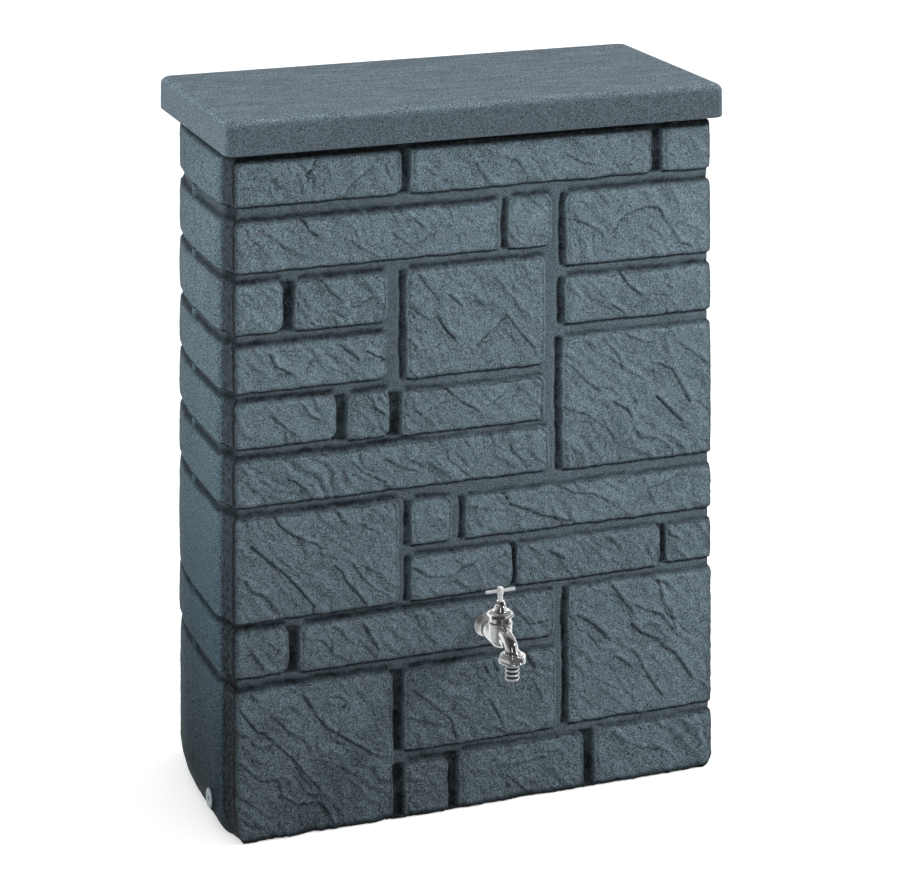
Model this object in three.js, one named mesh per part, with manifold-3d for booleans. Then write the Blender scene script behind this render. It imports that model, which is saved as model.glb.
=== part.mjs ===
// Slim rainwater tank with stone-course walls, a loose slab lid, a front garden tap and a low
// plug in the left end.
// Millimetres. Origin: centre of the footprint at ground level. +Z up, front face towards -Y,
// left end towards -X.
import * as THREE from 'three';
import { mergeVertices } from 'three/addons/utils/BufferGeometryUtils.js';
import Module from 'manifold-3d';

// ---------- shared dimensions ----------
const FACE_Y = -179;         // front stone faces
const GAP = 0.3;             // air between neighbouring pieces
const ROUND_STEPS = 28;      // default steps round a turned piece
const CORNER_STEPS = 4;      // steps round a slab corner

const wasm = await Module();
wasm.setup();

// ---------- solids ----------
function signedVolume(positions, indices) {
  let volume = 0;
  for (let i = 0; i < indices.length; i += 3) {
    const [a, b, c] = [indices[i] * 3, indices[i + 1] * 3, indices[i + 2] * 3];
    volume += positions[a]
        * (positions[b + 1] * positions[c + 2] - positions[b + 2] * positions[c + 1])
      + positions[a + 1]
        * (positions[b + 2] * positions[c] - positions[b] * positions[c + 2])
      + positions[a + 2]
        * (positions[b] * positions[c + 1] - positions[b + 1] * positions[c]);
  }
  return volume;
}

// welds a closed geometry, drops collapsed triangles and turns its faces outwards
function solid(geometry) {
  geometry.deleteAttribute('normal');
  geometry.deleteAttribute('uv');
  const welded = mergeVertices(geometry, 1e-3);
  const source = welded.index.array;
  const positions = welded.attributes.position.array;
  const indices = [];
  for (let i = 0; i < source.length; i += 3) {
    const [a, b, c] = [source[i], source[i + 1], source[i + 2]];
    if (a !== b && b !== c && a !== c) indices.push(a, b, c);
  }
  if (signedVolume(positions, indices) < 0) indices.reverse();
  return new wasm.Manifold(new wasm.Mesh({
    numProp: 3,
    vertProperties: Float32Array.from(positions),
    triVerts: Uint32Array.from(indices),
  }));
}
const join = (...solids) => solids.reduce((a, b) => a.add(b));
const cut = (base, ...tools) => tools.reduce((a, b) => a.subtract(b), base);

// ---------- outlines ----------
const rect = (x0, x1, y0, y1) => [[x0, y0], [x1, y0], [x1, y1], [x0, y1]];
const mirrored = (points) => points.map(([x, y]) => [-x, y]);

// rectangle with round corners, centred in X
function roundedRect(halfX, y0, y1, radius) {
  const cornerX = halfX - radius;
  const corners = [
    [cornerX, y0 + radius, -90], [cornerX, y1 - radius, 0],
    [-cornerX, y1 - radius, 90], [-cornerX, y0 + radius, 180],
  ];
  return corners.flatMap(([x, y, start]) => Array.from({ length: CORNER_STEPS + 1 }, (_, i) => {
    const angle = (start + 90 * i / CORNER_STEPS) * Math.PI / 180;
    return [x + radius * Math.cos(angle), y + radius * Math.sin(angle)];
  }));
}

function regularPolygon(count, radius, x = 0, y = 0, turn = 0) {
  return Array.from({ length: count }, (_, i) => {
    const angle = turn + i / count * 2 * Math.PI;
    return [x + radius * Math.cos(angle), y + radius * Math.sin(angle)];
  });
}
const shapeOf = (points) => new THREE.Shape(points.map(([x, y]) => new THREE.Vector2(x, y)));

// ---------- extruded and turned blocks ----------
function extruded(points, z0, z1, bevel) {
  const geometry = new THREE.ExtrudeGeometry(shapeOf(points), {
    depth: z1 - z0 - 2 * bevel, steps: 1, bevelEnabled: bevel > 0,
    bevelSize: bevel, bevelThickness: bevel, bevelOffset: -bevel, bevelSegments: 1,
  });
  return geometry.translate(0, 0, z0 + bevel);
}
// X/Y outline standing from z0 up to z1
const prism = (points, z0, z1, bevel = 0) => solid(extruded(points, z0, z1, bevel));

// X/Z outline running forwards from backY to frontY
function frontBlock(points, backY, frontY, bevel = 0) {
  const geometry = extruded(points, 0, backY - frontY, bevel);
  return solid(geometry.rotateX(Math.PI / 2).translate(0, backY, 0));
}

// profiles to turn, as [radius, distance along the axis]
const rod = (radius, from, to) => [[0, from], [radius, from], [radius, to], [0, to]];
const ring = (inner, outer, from, to) => [[inner, from], [outer, from], [outer, to], [inner, to]];

function turned(profile, steps) {
  const points = profile.map(([radius, along]) => new THREE.Vector2(radius, along));
  if (profile[0][0] > 0) points.push(points[0].clone());
  return new THREE.LatheGeometry(points, steps).rotateX(Math.PI / 2);
}
// distances are heights above ground
const turnedZ = (profile, x, y, steps = ROUND_STEPS) =>
  solid(turned(profile, steps).translate(x, y, 0));
// distances run towards -Y from y0
const turnedY = (profile, x, y0, z, steps = ROUND_STEPS) =>
  solid(turned(profile, steps).rotateX(Math.PI / 2).translate(x, y0, z));
// distances run towards -X from x0
const turnedX = (profile, x0, y, z, steps = ROUND_STEPS) =>
  solid(turned(profile, steps).rotateY(-Math.PI / 2).translate(x0, y, z));

// ---------- places of the tap and the side plug ----------
const TAP_X = 6;
const INLET_Z = 272;             // inlet axis above ground
const SPINDLE_Y = FACE_Y - 66;   // vertical spindle axis
const OUTLET_Y = FACE_Y - 114;   // vertical outlet axis
const BAR_Z = 345.6;             // handle bar axis
const TAP_INSERT_Y = FACE_Y + 31;   // inner end of the tap insert
const PLUG_X = -372;             // inner end of the side insert
const PLUG_Y = -98;
const PLUG_Z = 41;

const onInlet = (profile, y0, steps) => turnedY(profile, TAP_X, y0, INLET_Z, steps);
const onSpindle = (profile, steps) => turnedZ(profile, TAP_X, SPINDLE_Y, steps);
const onOutlet = (profile, steps) => turnedZ(profile, TAP_X, OUTLET_Y, steps);
const onBar = (profile) => turnedX(profile, TAP_X, SPINDLE_Y, BAR_Z, 20);
const onPlug = (profile, steps) => turnedX(profile, PLUG_X, PLUG_Y, PLUG_Z, steps);
const hexAt = (acrossFlats, y, turn) =>
  regularPolygon(6, acrossFlats / Math.sqrt(3), TAP_X, y, turn);

// ---------- tank body ----------
const BODY_W = 800;          // over the end faces
const BACK_Y = 179;          // flat back
const RIM_Z = 1009.7;        // top of the body's rim
const RIM_SKIN = 6.7;
const JOINT = 10;            // depth of the mortar joints
const WALL = 5;              // skin thickness
const BEVEL = 4.5;           // drafted flank of each stone
const STONE_LAP = 4;         // stone blocks sunk into the core
const CAVITY_LAP = 3;        // stone hollows run on into the main cavity
const BAND_INNER_X = -330;   // inner edge of the end courses
const OPEN_X = 350;          // half width of the filling opening
const OPEN_Y0 = -125;
const OPEN_Y1 = 135;
const FOOT_RX = 18;          // rounded foot at each end, reach in X
const FOOT_STEPS = 6;
const TAP_INSERT_R = 17;
const SIDE_INSERT_R = 15;

// front stones: x0, x1, z0, z1
const STONES = [
  [-391, -127, 932, 997], [-106, 283, 931, 1000], [307, 386, 931, 1002],
  [-388, 30, 835, 906], [50, 114, 834, 909], [145, 386, 800, 909],
  [-387, -313, 745, 816], [-288, -151, 743, 815], [-114, 104, 654, 815], [142, 386, 711, 780],
  [-386, -152, 659, 724], [138, 386, 489, 690],
  [-386, -231, 578, 642], [-206, -147, 573, 639], [-121, 103, 570, 634],
  [-386, 109, 492, 557],
  [-386, -133, 322, 473], [-107, -48, 405, 470], [-21, 386, 404, 467],
  [-107, 50, 322, 386], [62, 295, 323, 385], [310, 386, 326, 383],
  [-386, -305, 243, 309], [-281, 118, 240, 307], [147, 386, 102, 308],
  [-386, -143, 8, 221], [-118, 120, 99, 220],
  [-117, -55, 8, 79], [-31, 166, 8, 84], [190, 386, 8, 86],
];

// outlines are drawn for the left end; place puts them at their own end
// courses that wrap round the end: z0, z1; footRZ: height of the rounded foot
const LEFT_END = {
  place: (points) => points,
  footRZ: 60,
  courses: [
    [932, 997], [835, 906], [745, 816], [659, 724], [578, 642],
    [492, 557], [322, 473], [243, 309], [8, 221],
  ],
};
const RIGHT_END = {
  place: mirrored,
  footRZ: 25,
  courses: [
    [931, 1002], [800, 909], [711, 780], [489, 690],
    [404, 467], [326, 383], [102, 308], [8, 86],
  ],
};
const ENDS = [LEFT_END, RIGHT_END];

// left end outline, x, y from front to back: it bellies out to the mould's parting line
const END_OUTLINE = [
  [-386, FACE_Y], [-388, -165], [-393, -138], [-BODY_W / 2, -128],
  [-BODY_W / 2, 8], [-389, 120], [-378, 158], [-360, BACK_Y],
];
// parting-line web that bridges the end joints: x0, x1, y0, y1
const WEB = rect(-397, -380, 2, 14);
const WEB_Z0 = 12;
const WEB_Z1 = 1000;

function insetEnd(inset, backInset) {
  return END_OUTLINE.map(([x, y], i) => {
    if (i === 0) return [x + inset * 0.5, y + inset];
    // stays at least 3 behind the inset front corner
    if (i === 1) return [x + inset, Math.max(y, FACE_Y + inset + 3)];
    return [x + inset, i === END_OUTLINE.length - 1 ? y - backInset : y];
  });
}
function coreOutline(inset, backInset) {
  const left = insetEnd(inset, backInset);
  return [...[...left].reverse(), ...mirrored(left)];
}
const bandOutline = (inset) => [
  ...insetEnd(inset, inset),
  [BAND_INNER_X, BACK_Y - inset],
  [BAND_INNER_X, FACE_Y + inset + 1],
];

// everything outside the quarter-round foot of one end, inset by a skin thickness
function footCutter({ place, footRZ }, inset) {
  const centreX = -BODY_W / 2 + FOOT_RX;
  const radiusX = FOOT_RX - inset;
  const radiusZ = footRZ - inset;
  const outsideX = centreX - radiusX - 40;
  const belowZ = -20;
  const points = [[centreX, belowZ]];
  for (let i = 0; i <= FOOT_STEPS; i++) {
    const angle = i / FOOT_STEPS * Math.PI / 2;
    points.push([
      centreX - radiusX * Math.sin(angle),
      inset + radiusZ - radiusZ * Math.cos(angle),
    ]);
  }
  points.push([outsideX, inset + radiusZ], [outsideX, belowZ]);
  return frontBlock(place(points), 300, -300);
}

function makeTankBody() {
  const outside = [prism(coreOutline(JOINT, 0), 0, RIM_Z)];
  const inside = [prism(coreOutline(JOINT + WALL, WALL), WALL, RIM_Z - RIM_SKIN)];
  for (const { place, courses } of ENDS) {
    for (const [z0, z1] of courses) {
      outside.push(prism(place(bandOutline(0)), z0, z1, BEVEL));
      inside.push(prism(place(bandOutline(WALL)), z0 + WALL, z1 - WALL));
    }
    outside.push(prism(place(WEB), WEB_Z0, WEB_Z1));
  }
  for (const [x0, x1, z0, z1] of STONES) {
    const hollow = rect(x0 + WALL, x1 - WALL, z0 + WALL, z1 - WALL);
    outside.push(frontBlock(rect(x0, x1, z0, z1), FACE_Y + JOINT + STONE_LAP, FACE_Y, BEVEL));
    inside.push(frontBlock(hollow, FACE_Y + JOINT + WALL + CAVITY_LAP, FACE_Y + WALL));
  }
  const shell = cut(
    cut(join(...outside), ...ENDS.map((end) => footCutter(end, 0))),
    cut(join(...inside), ...ENDS.map((end) => footCutter(end, WALL))),
    prism(rect(-OPEN_X, OPEN_X, OPEN_Y0, OPEN_Y1), RIM_Z - 20, RIM_Z + 5));
  // bosses that carry the threaded inserts, then their bores
  return cut(
    join(shell, onInlet(rod(23, 0, 26), TAP_INSERT_Y), onPlug(rod(19, 0, 27.6))),
    onInlet(rod(TAP_INSERT_R + GAP, -10, 60), TAP_INSERT_Y),
    onPlug(rod(SIDE_INSERT_R + GAP, -10, 50)));
}

// ---------- lid ----------
const LID_HALF_X = 804 / 2;
const LID_HALF_Y = 390 / 2;
const LID_Z0 = 1010;
const LID_TOP = LID_Z0 + 52;
const LID_SKIN = 6;
const LID_BEVEL = 11;
const LID_CAVITY_BEVEL = 7;
const FRAME_WALL = 5;
const SKIRT_CLEAR = 4;       // skirt to opening
const SKIRT_DEPTH = 22;

// upright rectangular frame reaching up into the lid's top skin
function lidFrame(halfX, y0, y1, z0) {
  const inner = roundedRect(halfX - FRAME_WALL, y0 + FRAME_WALL, y1 - FRAME_WALL, 8);
  const ceiling = LID_TOP - LID_SKIN;
  return cut(
    prism(roundedRect(halfX, y0, y1, 12), z0, ceiling + 1),
    prism(inner, z0 - 1, ceiling + 2));
}
function makeLid() {
  const innerY = LID_HALF_Y - LID_SKIN;
  const slab = cut(
    prism(roundedRect(LID_HALF_X, -LID_HALF_Y, LID_HALF_Y, 14), LID_Z0 - 40, LID_TOP, LID_BEVEL),
    prism(rect(-500, 500, -300, 300), LID_Z0 - 60, LID_Z0),
    prism(roundedRect(LID_HALF_X - LID_SKIN, -innerY, innerY, 10),
      LID_Z0 - 5, LID_TOP - LID_SKIN, LID_CAVITY_BEVEL));
  const bearing = lidFrame(374, -160, 168, LID_Z0);
  const skirt = lidFrame(OPEN_X - SKIRT_CLEAR, OPEN_Y0 + SKIRT_CLEAR, OPEN_Y1 - SKIRT_CLEAR,
    LID_Z0 - SKIRT_DEPTH);
  return join(slab, bearing, skirt);
}

// ---------- tap ----------
const INLET_Y = FACE_Y + 17;     // inner end of the inlet
const INLET_R = 10.1;
const SEAT_Z = 283;              // valve seat
const BODY_TOP_Z = 299.2;        // top of the tap body
const BONNET_Z = 300.8;          // bonnet shoulder
const BONNET_PLUG_R = 11.7;      // bonnet part that sits inside the body
const SPINDLE_R = 5;             // wide lower part of the spindle
const STEM_R = 3.8;              // narrow upper part
const STEM_HOLE_R = STEM_R + GAP;
const PACKING_R = 6.2;
const PACKING_SEAT_Z = 318.4;
const PACKING_TOP_Z = 321.6;
const BAR_LEN = 47;
const BAR_R = 2.5;
const JUMPER_R = 2.5;            // jumper stem above its disc
const JUMPER_TAIL_R = 1.5;
const JUMPER_DISC_Z = 286.6;
const COLLAR_Z = 264.9;          // lower end of the outlet collar
const COLLAR_R = 13;
const NOZZLE_FLANGE_Z0 = 260.7;
const NOZZLE_FLANGE_Z1 = 262.6;

// centre lines in the plane x = TAP_X, as [y, z]
const SPOUT_PATH = [
  [SPINDLE_Y + 2, 286.5], [SPINDLE_Y - 14, 287], [SPINDLE_Y - 30, 285.5],
  [OUTLET_Y + 4, 279.5], [OUTLET_Y, 271], [OUTLET_Y, COLLAR_Z],
];
const SPOUT_WEB_PATH = [
  [SPINDLE_Y, 278], [SPINDLE_Y - 10, 278], [SPINDLE_Y - 20, 278.2], [OUTLET_Y + 17.6, 279],
];
const SPOUT_BORE_PATH = [
  [SPINDLE_Y - 8, 289], [SPINDLE_Y - 14, 288.6], [SPINDLE_Y - 30, 285.8],
  [OUTLET_Y + 4, 279.5], [OUTLET_Y, 271], [OUTLET_Y, 260],
];
// turned profiles, as [radius, z]; the inlet's and rosette's second column runs forwards
const BULB_PROFILE = [
  [0, 262], [6, 262.8], [11, 265.4], [14.6, 269.6], [16.6, 275.4], [17.4, 282],
  [17.4, 295], [18.2, 296.5], [18.2, BODY_TOP_Z], [0, BODY_TOP_Z],
];
const INLET_PROFILE = [
  [0, 0], [INLET_R, 0], [INLET_R, 36], [11.6, 40], [12.2, 50],
  [12.2, 66], [11.2, 72], [8.6, 77], [0, 80],
];
const COLLAR_PROFILE = [
  [0, COLLAR_Z], [COLLAR_R, COLLAR_Z], [COLLAR_R, 271.2], [11, 274.4], [0, 274.4],
];
const ROSETTE_PROFILE = [
  [14.4, 0.4], [16.8, 0.4], [16.8, 2.4], [15.8, 5], [14.4, 9], [13.4, 13],
  [13, 17], [12.2, 18.5], [10.5, 18.5], [10.5, 3.4], [14.4, 3.4],
];
const BONNET_BORE_R = SPINDLE_R + GAP;
const PACKING_BOX_R = PACKING_R + GAP;
const BONNET_PROFILE = [
  [BONNET_PLUG_R, 294.6], [BONNET_PLUG_R, BONNET_Z], [16.2, BONNET_Z], [16.2, 308.5],
  [17.4, 309], [17.4, 312.8], [16, 314], [12, 315], [10.4, 317], [9.2, 320.4], [8.3, 324],
  [PACKING_BOX_R, 324], [PACKING_BOX_R, PACKING_SEAT_Z],
  [BONNET_BORE_R, PACKING_SEAT_Z], [BONNET_BORE_R, 294.6],
];
const SPINDLE_PROFILE = [
  [0, 288.9], [4.4, 288.9], [SPINDLE_R, 289.5], [SPINDLE_R, 311.8], [4.6, 312.4],
  [STEM_R, 312.4], [STEM_R, 339.8], [4.7, 341], [4.7, 349.6], [3.6, 351], [0, 351],
];
const GLAND_HEX_PROFILE = [
  [STEM_HOLE_R, 324.3], [8.2, 324.3], [7.7, 326.6], [6, 330.6], [STEM_HOLE_R, 330.6],
];
const JUMPER_PROFILE = [
  [0, 280.2], [JUMPER_TAIL_R, 280.2], [JUMPER_TAIL_R, JUMPER_DISC_Z], [8.5, JUMPER_DISC_Z],
  [8.5, 288.6], [JUMPER_R, 288.6], [JUMPER_R, 299], [0, 299],
];
const NOZZLE_PROFILE = [
  [7, 231.4], [9.2, 231.4], [11.2, 234.8], [8.8, 235.4], [8.8, 237.6], [11.2, 241.4],
  [8.8, 242], [8.8, 244.2], [11.2, 248], [8.8, 248.6], [8.8, 250.6], [10.4, 253], [9.5, 253.6],
  [9.5, NOZZLE_FLANGE_Z0], [12.9, NOZZLE_FLANGE_Z0],
  [12.9, NOZZLE_FLANGE_Z1], [7, NOZZLE_FLANGE_Z1],
];

function sweep(radius, path, sides, steps) {
  const points = path.map(([y, z]) => new THREE.Vector3(TAP_X, y, z));
  const extrudePath = new THREE.CatmullRomCurve3(points, false, 'centripetal');
  const circle = shapeOf(regularPolygon(sides, radius));
  circle.closePath();
  return solid(new THREE.ExtrudeGeometry(circle, { steps, extrudePath, bevelEnabled: false }));
}
function makeTapBody() {
  const casting = join(
    onSpindle(BULB_PROFILE),
    onInlet(INLET_PROFILE, INLET_Y),
    sweep(9.6, SPOUT_PATH, 24, 18),
    sweep(9.2, SPOUT_WEB_PATH, 24, 10),
    onOutlet(COLLAR_PROFILE));
  // the waterway: inlet bore, rise to the seat, valve chamber, spout bore
  return cut(casting,
    onInlet(rod(5.6, -2, 74), INLET_Y, 24),
    turnedZ(rod(5, INLET_Z - 4, INLET_Z + 1), TAP_X, SPINDLE_Y + 3, 24),
    onSpindle(rod(5, INLET_Z, SEAT_Z + 1), 24),
    onSpindle(rod(BONNET_PLUG_R + GAP, SEAT_Z, BODY_TOP_Z + 2)),
    sweep(5.4, SPOUT_BORE_PATH, 16, 16));
}
function makeBonnet() {
  const hexFlange = prism(hexAt(36, SPINDLE_Y, Math.PI / 6), 308, 313.4, 1);
  const core = onSpindle(rod(14, BONNET_Z, 314.2));
  return cut(join(onSpindle(BONNET_PROFILE), hexFlange, core),
    onSpindle(rod(BONNET_BORE_R, 290, 320)),
    onSpindle(rod(PACKING_BOX_R, PACKING_SEAT_Z, 330)));
}
function makeGlandNut() {
  const sleeve = onSpindle(ring(STEM_HOLE_R, PACKING_R, PACKING_TOP_Z + GAP, 325));
  return cut(join(sleeve, onSpindle(GLAND_HEX_PROFILE, 6)),
    onSpindle(rod(STEM_HOLE_R, 320, 335)));
}
// socket for the jumper below, cross hole for the bar above
const makeSpindle = () => cut(onSpindle(SPINDLE_PROFILE),
  onSpindle(rod(JUMPER_R + GAP, 285, 300.5), 20),
  onBar(rod(BAR_R + GAP, -20, 20)));

function makeHandleBar() {
  const half = BAR_LEN / 2;
  return onBar([
    [0, -half], [1.6, -half], [BAR_R, -half + 1], [BAR_R, half - 1], [1.6, half], [0, half],
  ]);
}
const makeWasherNut = () => cut(prism(hexAt(6, SPINDLE_Y), 280.9, 283),
  onSpindle(rod(JUMPER_TAIL_R + GAP, 275, 290), 16));

function makeCouplingNut() {
  const floorZ = NOZZLE_FLANGE_Z0 - GAP;
  const nut = join(
    prism(hexAt(37, OUTLET_Y), 260, 267.6, 1.2),
    onOutlet(rod(20.2, 258.2, 260.9)),
    onOutlet(rod(16.4, floorZ, 269.6)));
  return cut(nut, onOutlet(rod(COLLAR_R + GAP, floorZ, 280)), onOutlet(rod(9.9, 250, 262)));
}

// ---------- side plug ----------
const PLUG_PROFILE = [    // radius, distance outwards
  [0, 4], [10, 4], [10, 28.8], [14, 28.8], [14, 30.6], [13, 31.6], [0, 31.6],
];
// with a square socket in its outer face
const makeSidePlug = () => cut(onPlug(PLUG_PROFILE), onPlug(rod(5.5, 24, 36), 4));

// ---------- finishes ----------
const finish = (color, metalness, roughness) => ({ color, metalness, roughness });
const chrome = (roughness) => finish(0xd8dadc, 1, roughness);
const brass = (roughness) => finish(0xb08d4c, 1, roughness);
const STONE = finish(0x5f6d75, 0, 0.8);
const LID_STONE = finish(0x66747c, 0, 0.8);
const POLISHED = chrome(0.12);
const OUTLET_CHROME = chrome(0.14);
const SPINDLE_CHROME = chrome(0.15);
const INSERT_BRASS = brass(0.4);
const VALVE_BRASS = brass(0.35);
const RUBBER = finish(0x1d1d1f, 0, 0.7);
const FIBRE = finish(0x4a4642, 0, 0.8);
const PALE = finish(0xaab4b8, 0, 0.45);

// ---------- assembly ----------
const group = new THREE.Group();
group.name = 'slim_stone_water_tank';

function add(name, piece, look) {
  const { vertProperties, triVerts } = piece.getMesh();
  const indexed = new THREE.BufferGeometry();
  indexed.setAttribute('position', new THREE.BufferAttribute(vertProperties, 3));
  indexed.setIndex(new THREE.BufferAttribute(triVerts, 1));
  const geometry = indexed.toNonIndexed();
  geometry.computeVertexNormals();
  const mesh = new THREE.Mesh(geometry, new THREE.MeshStandardMaterial(look));
  mesh.name = name;
  group.add(mesh);
}

add('tank_body', makeTankBody(), STONE);
add('lid', makeLid(), LID_STONE);
add('tap_insert', onInlet(ring(INLET_R + GAP, TAP_INSERT_R, 0.4, 30.6), TAP_INSERT_Y),
  INSERT_BRASS);
add('inlet_seal', onInlet(ring(10.5, 14, 0.5, 3), FACE_Y), RUBBER);
add('tap_rosette', onInlet(ROSETTE_PROFILE, FACE_Y), POLISHED);
add('tap_body', makeTapBody(), POLISHED);
add('bonnet_gasket', onSpindle(ring(12.4, 15.6, BODY_TOP_Z + GAP, BONNET_Z - GAP)), FIBRE);
add('bonnet', makeBonnet(), POLISHED);
add('gland_packing',
  onSpindle(ring(STEM_HOLE_R, PACKING_R, PACKING_SEAT_Z + GAP, PACKING_TOP_Z)), RUBBER);
add('gland_nut', makeGlandNut(), POLISHED);
add('spindle', makeSpindle(), SPINDLE_CHROME);
add('handle_bar', makeHandleBar(), POLISHED);
add('jumper_valve', onSpindle(JUMPER_PROFILE), VALVE_BRASS);
add('valve_washer',
  onSpindle(ring(JUMPER_TAIL_R + GAP, 8.2, SEAT_Z + GAP, JUMPER_DISC_Z - GAP)), RUBBER);
add('washer_nut', makeWasherNut(), VALVE_BRASS);
add('coupling_nut', makeCouplingNut(), OUTLET_CHROME);
add('nozzle_gasket', onOutlet(ring(7, 12.6, NOZZLE_FLANGE_Z1 + GAP, COLLAR_Z - GAP)), RUBBER);
add('hose_nozzle', onOutlet(NOZZLE_PROFILE), OUTLET_CHROME);
add('side_insert', onPlug(ring(10.4, SIDE_INSERT_R, 0.4, 26.6)), INSERT_BRASS);
add('side_plug_seal', onPlug(ring(10.4, 13.2, 27, 28.4)), RUBBER);
add('side_plug', makeSidePlug(), PALE);

export default group;
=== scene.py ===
"""Looks for the slim stone-course rainwater tank: moulded stone skin, slab lid and chromed garden tap."""
import math

import bmesh
import bpy
import numpy as np
from mathutils import Matrix, Vector


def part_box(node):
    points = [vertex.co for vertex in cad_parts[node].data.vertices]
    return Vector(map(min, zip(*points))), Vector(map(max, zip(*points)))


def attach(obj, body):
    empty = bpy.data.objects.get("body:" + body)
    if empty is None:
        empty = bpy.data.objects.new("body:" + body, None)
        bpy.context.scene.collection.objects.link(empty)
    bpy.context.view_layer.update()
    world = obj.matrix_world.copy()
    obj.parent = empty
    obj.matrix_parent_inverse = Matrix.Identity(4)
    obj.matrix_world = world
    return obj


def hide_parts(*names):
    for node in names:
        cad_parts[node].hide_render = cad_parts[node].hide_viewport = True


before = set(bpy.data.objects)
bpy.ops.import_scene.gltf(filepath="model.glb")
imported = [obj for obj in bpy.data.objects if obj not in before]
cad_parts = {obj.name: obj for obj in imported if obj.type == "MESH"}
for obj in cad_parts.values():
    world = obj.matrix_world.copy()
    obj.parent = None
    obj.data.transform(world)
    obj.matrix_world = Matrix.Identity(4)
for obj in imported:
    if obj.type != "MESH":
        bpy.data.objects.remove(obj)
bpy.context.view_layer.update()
MM = 0.001


def mmbox(node):
    lo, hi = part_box(node)
    return [c / MM for c in lo], [c / MM for c in hi]


T0, T1 = mmbox("tank_body")
L0, L1 = mmbox("lid")
FACE_Y, BACK_Y, RIM_Z, HALF_W = T0[1], T1[1], T1[2], T1[0]
JOINT = 10.0

# front stones, mm: x0, x1, z0, z1
STONES = [
    (-391, -127, 932, 997), (-106, 283, 931, 1000), (307, 386, 931, 1002),
    (-388, 30, 835, 906), (50, 114, 834, 909), (145, 386, 800, 909),
    (-387, -313, 745, 816), (-288, -151, 743, 815), (-114, 104, 654, 815), (142, 386, 711, 780),
    (-386, -152, 659, 724), (138, 386, 489, 690),
    (-386, -231, 578, 642), (-206, -147, 573, 639), (-121, 103, 570, 634),
    (-386, 109, 492, 557),
    (-386, -133, 322, 473), (-107, -48, 405, 470), (-21, 386, 404, 467),
    (-107, 50, 322, 386), (62, 295, 323, 385), (310, 386, 326, 383),
    (-386, -305, 243, 309), (-281, 118, 240, 307), (147, 386, 102, 308),
    (-386, -143, 5, 221), (-118, 120, 99, 220),
    (-117, -55, 5, 79), (-31, 166, 5, 84), (190, 386, 5, 86),
]
LEFT = [(932, 997), (835, 906), (745, 816), (659, 724), (578, 642), (492, 557), (322, 473), (243, 309), (5, 221)]
RIGHT = [(931, 1002), (800, 909), (711, 780), (489, 690), (404, 467), (326, 383), (102, 308), (5, 86)]
# joints with no lighter strip, by the stone on their right: x0, z0
WIDE = {(-106, 931), (307, 931), (-288, 743), (-206, 573), (62, 323), (310, 326), (-281, 240), (-118, 99), (-117, 5), (-31, 5), (190, 5), (-121, 570)}
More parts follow.
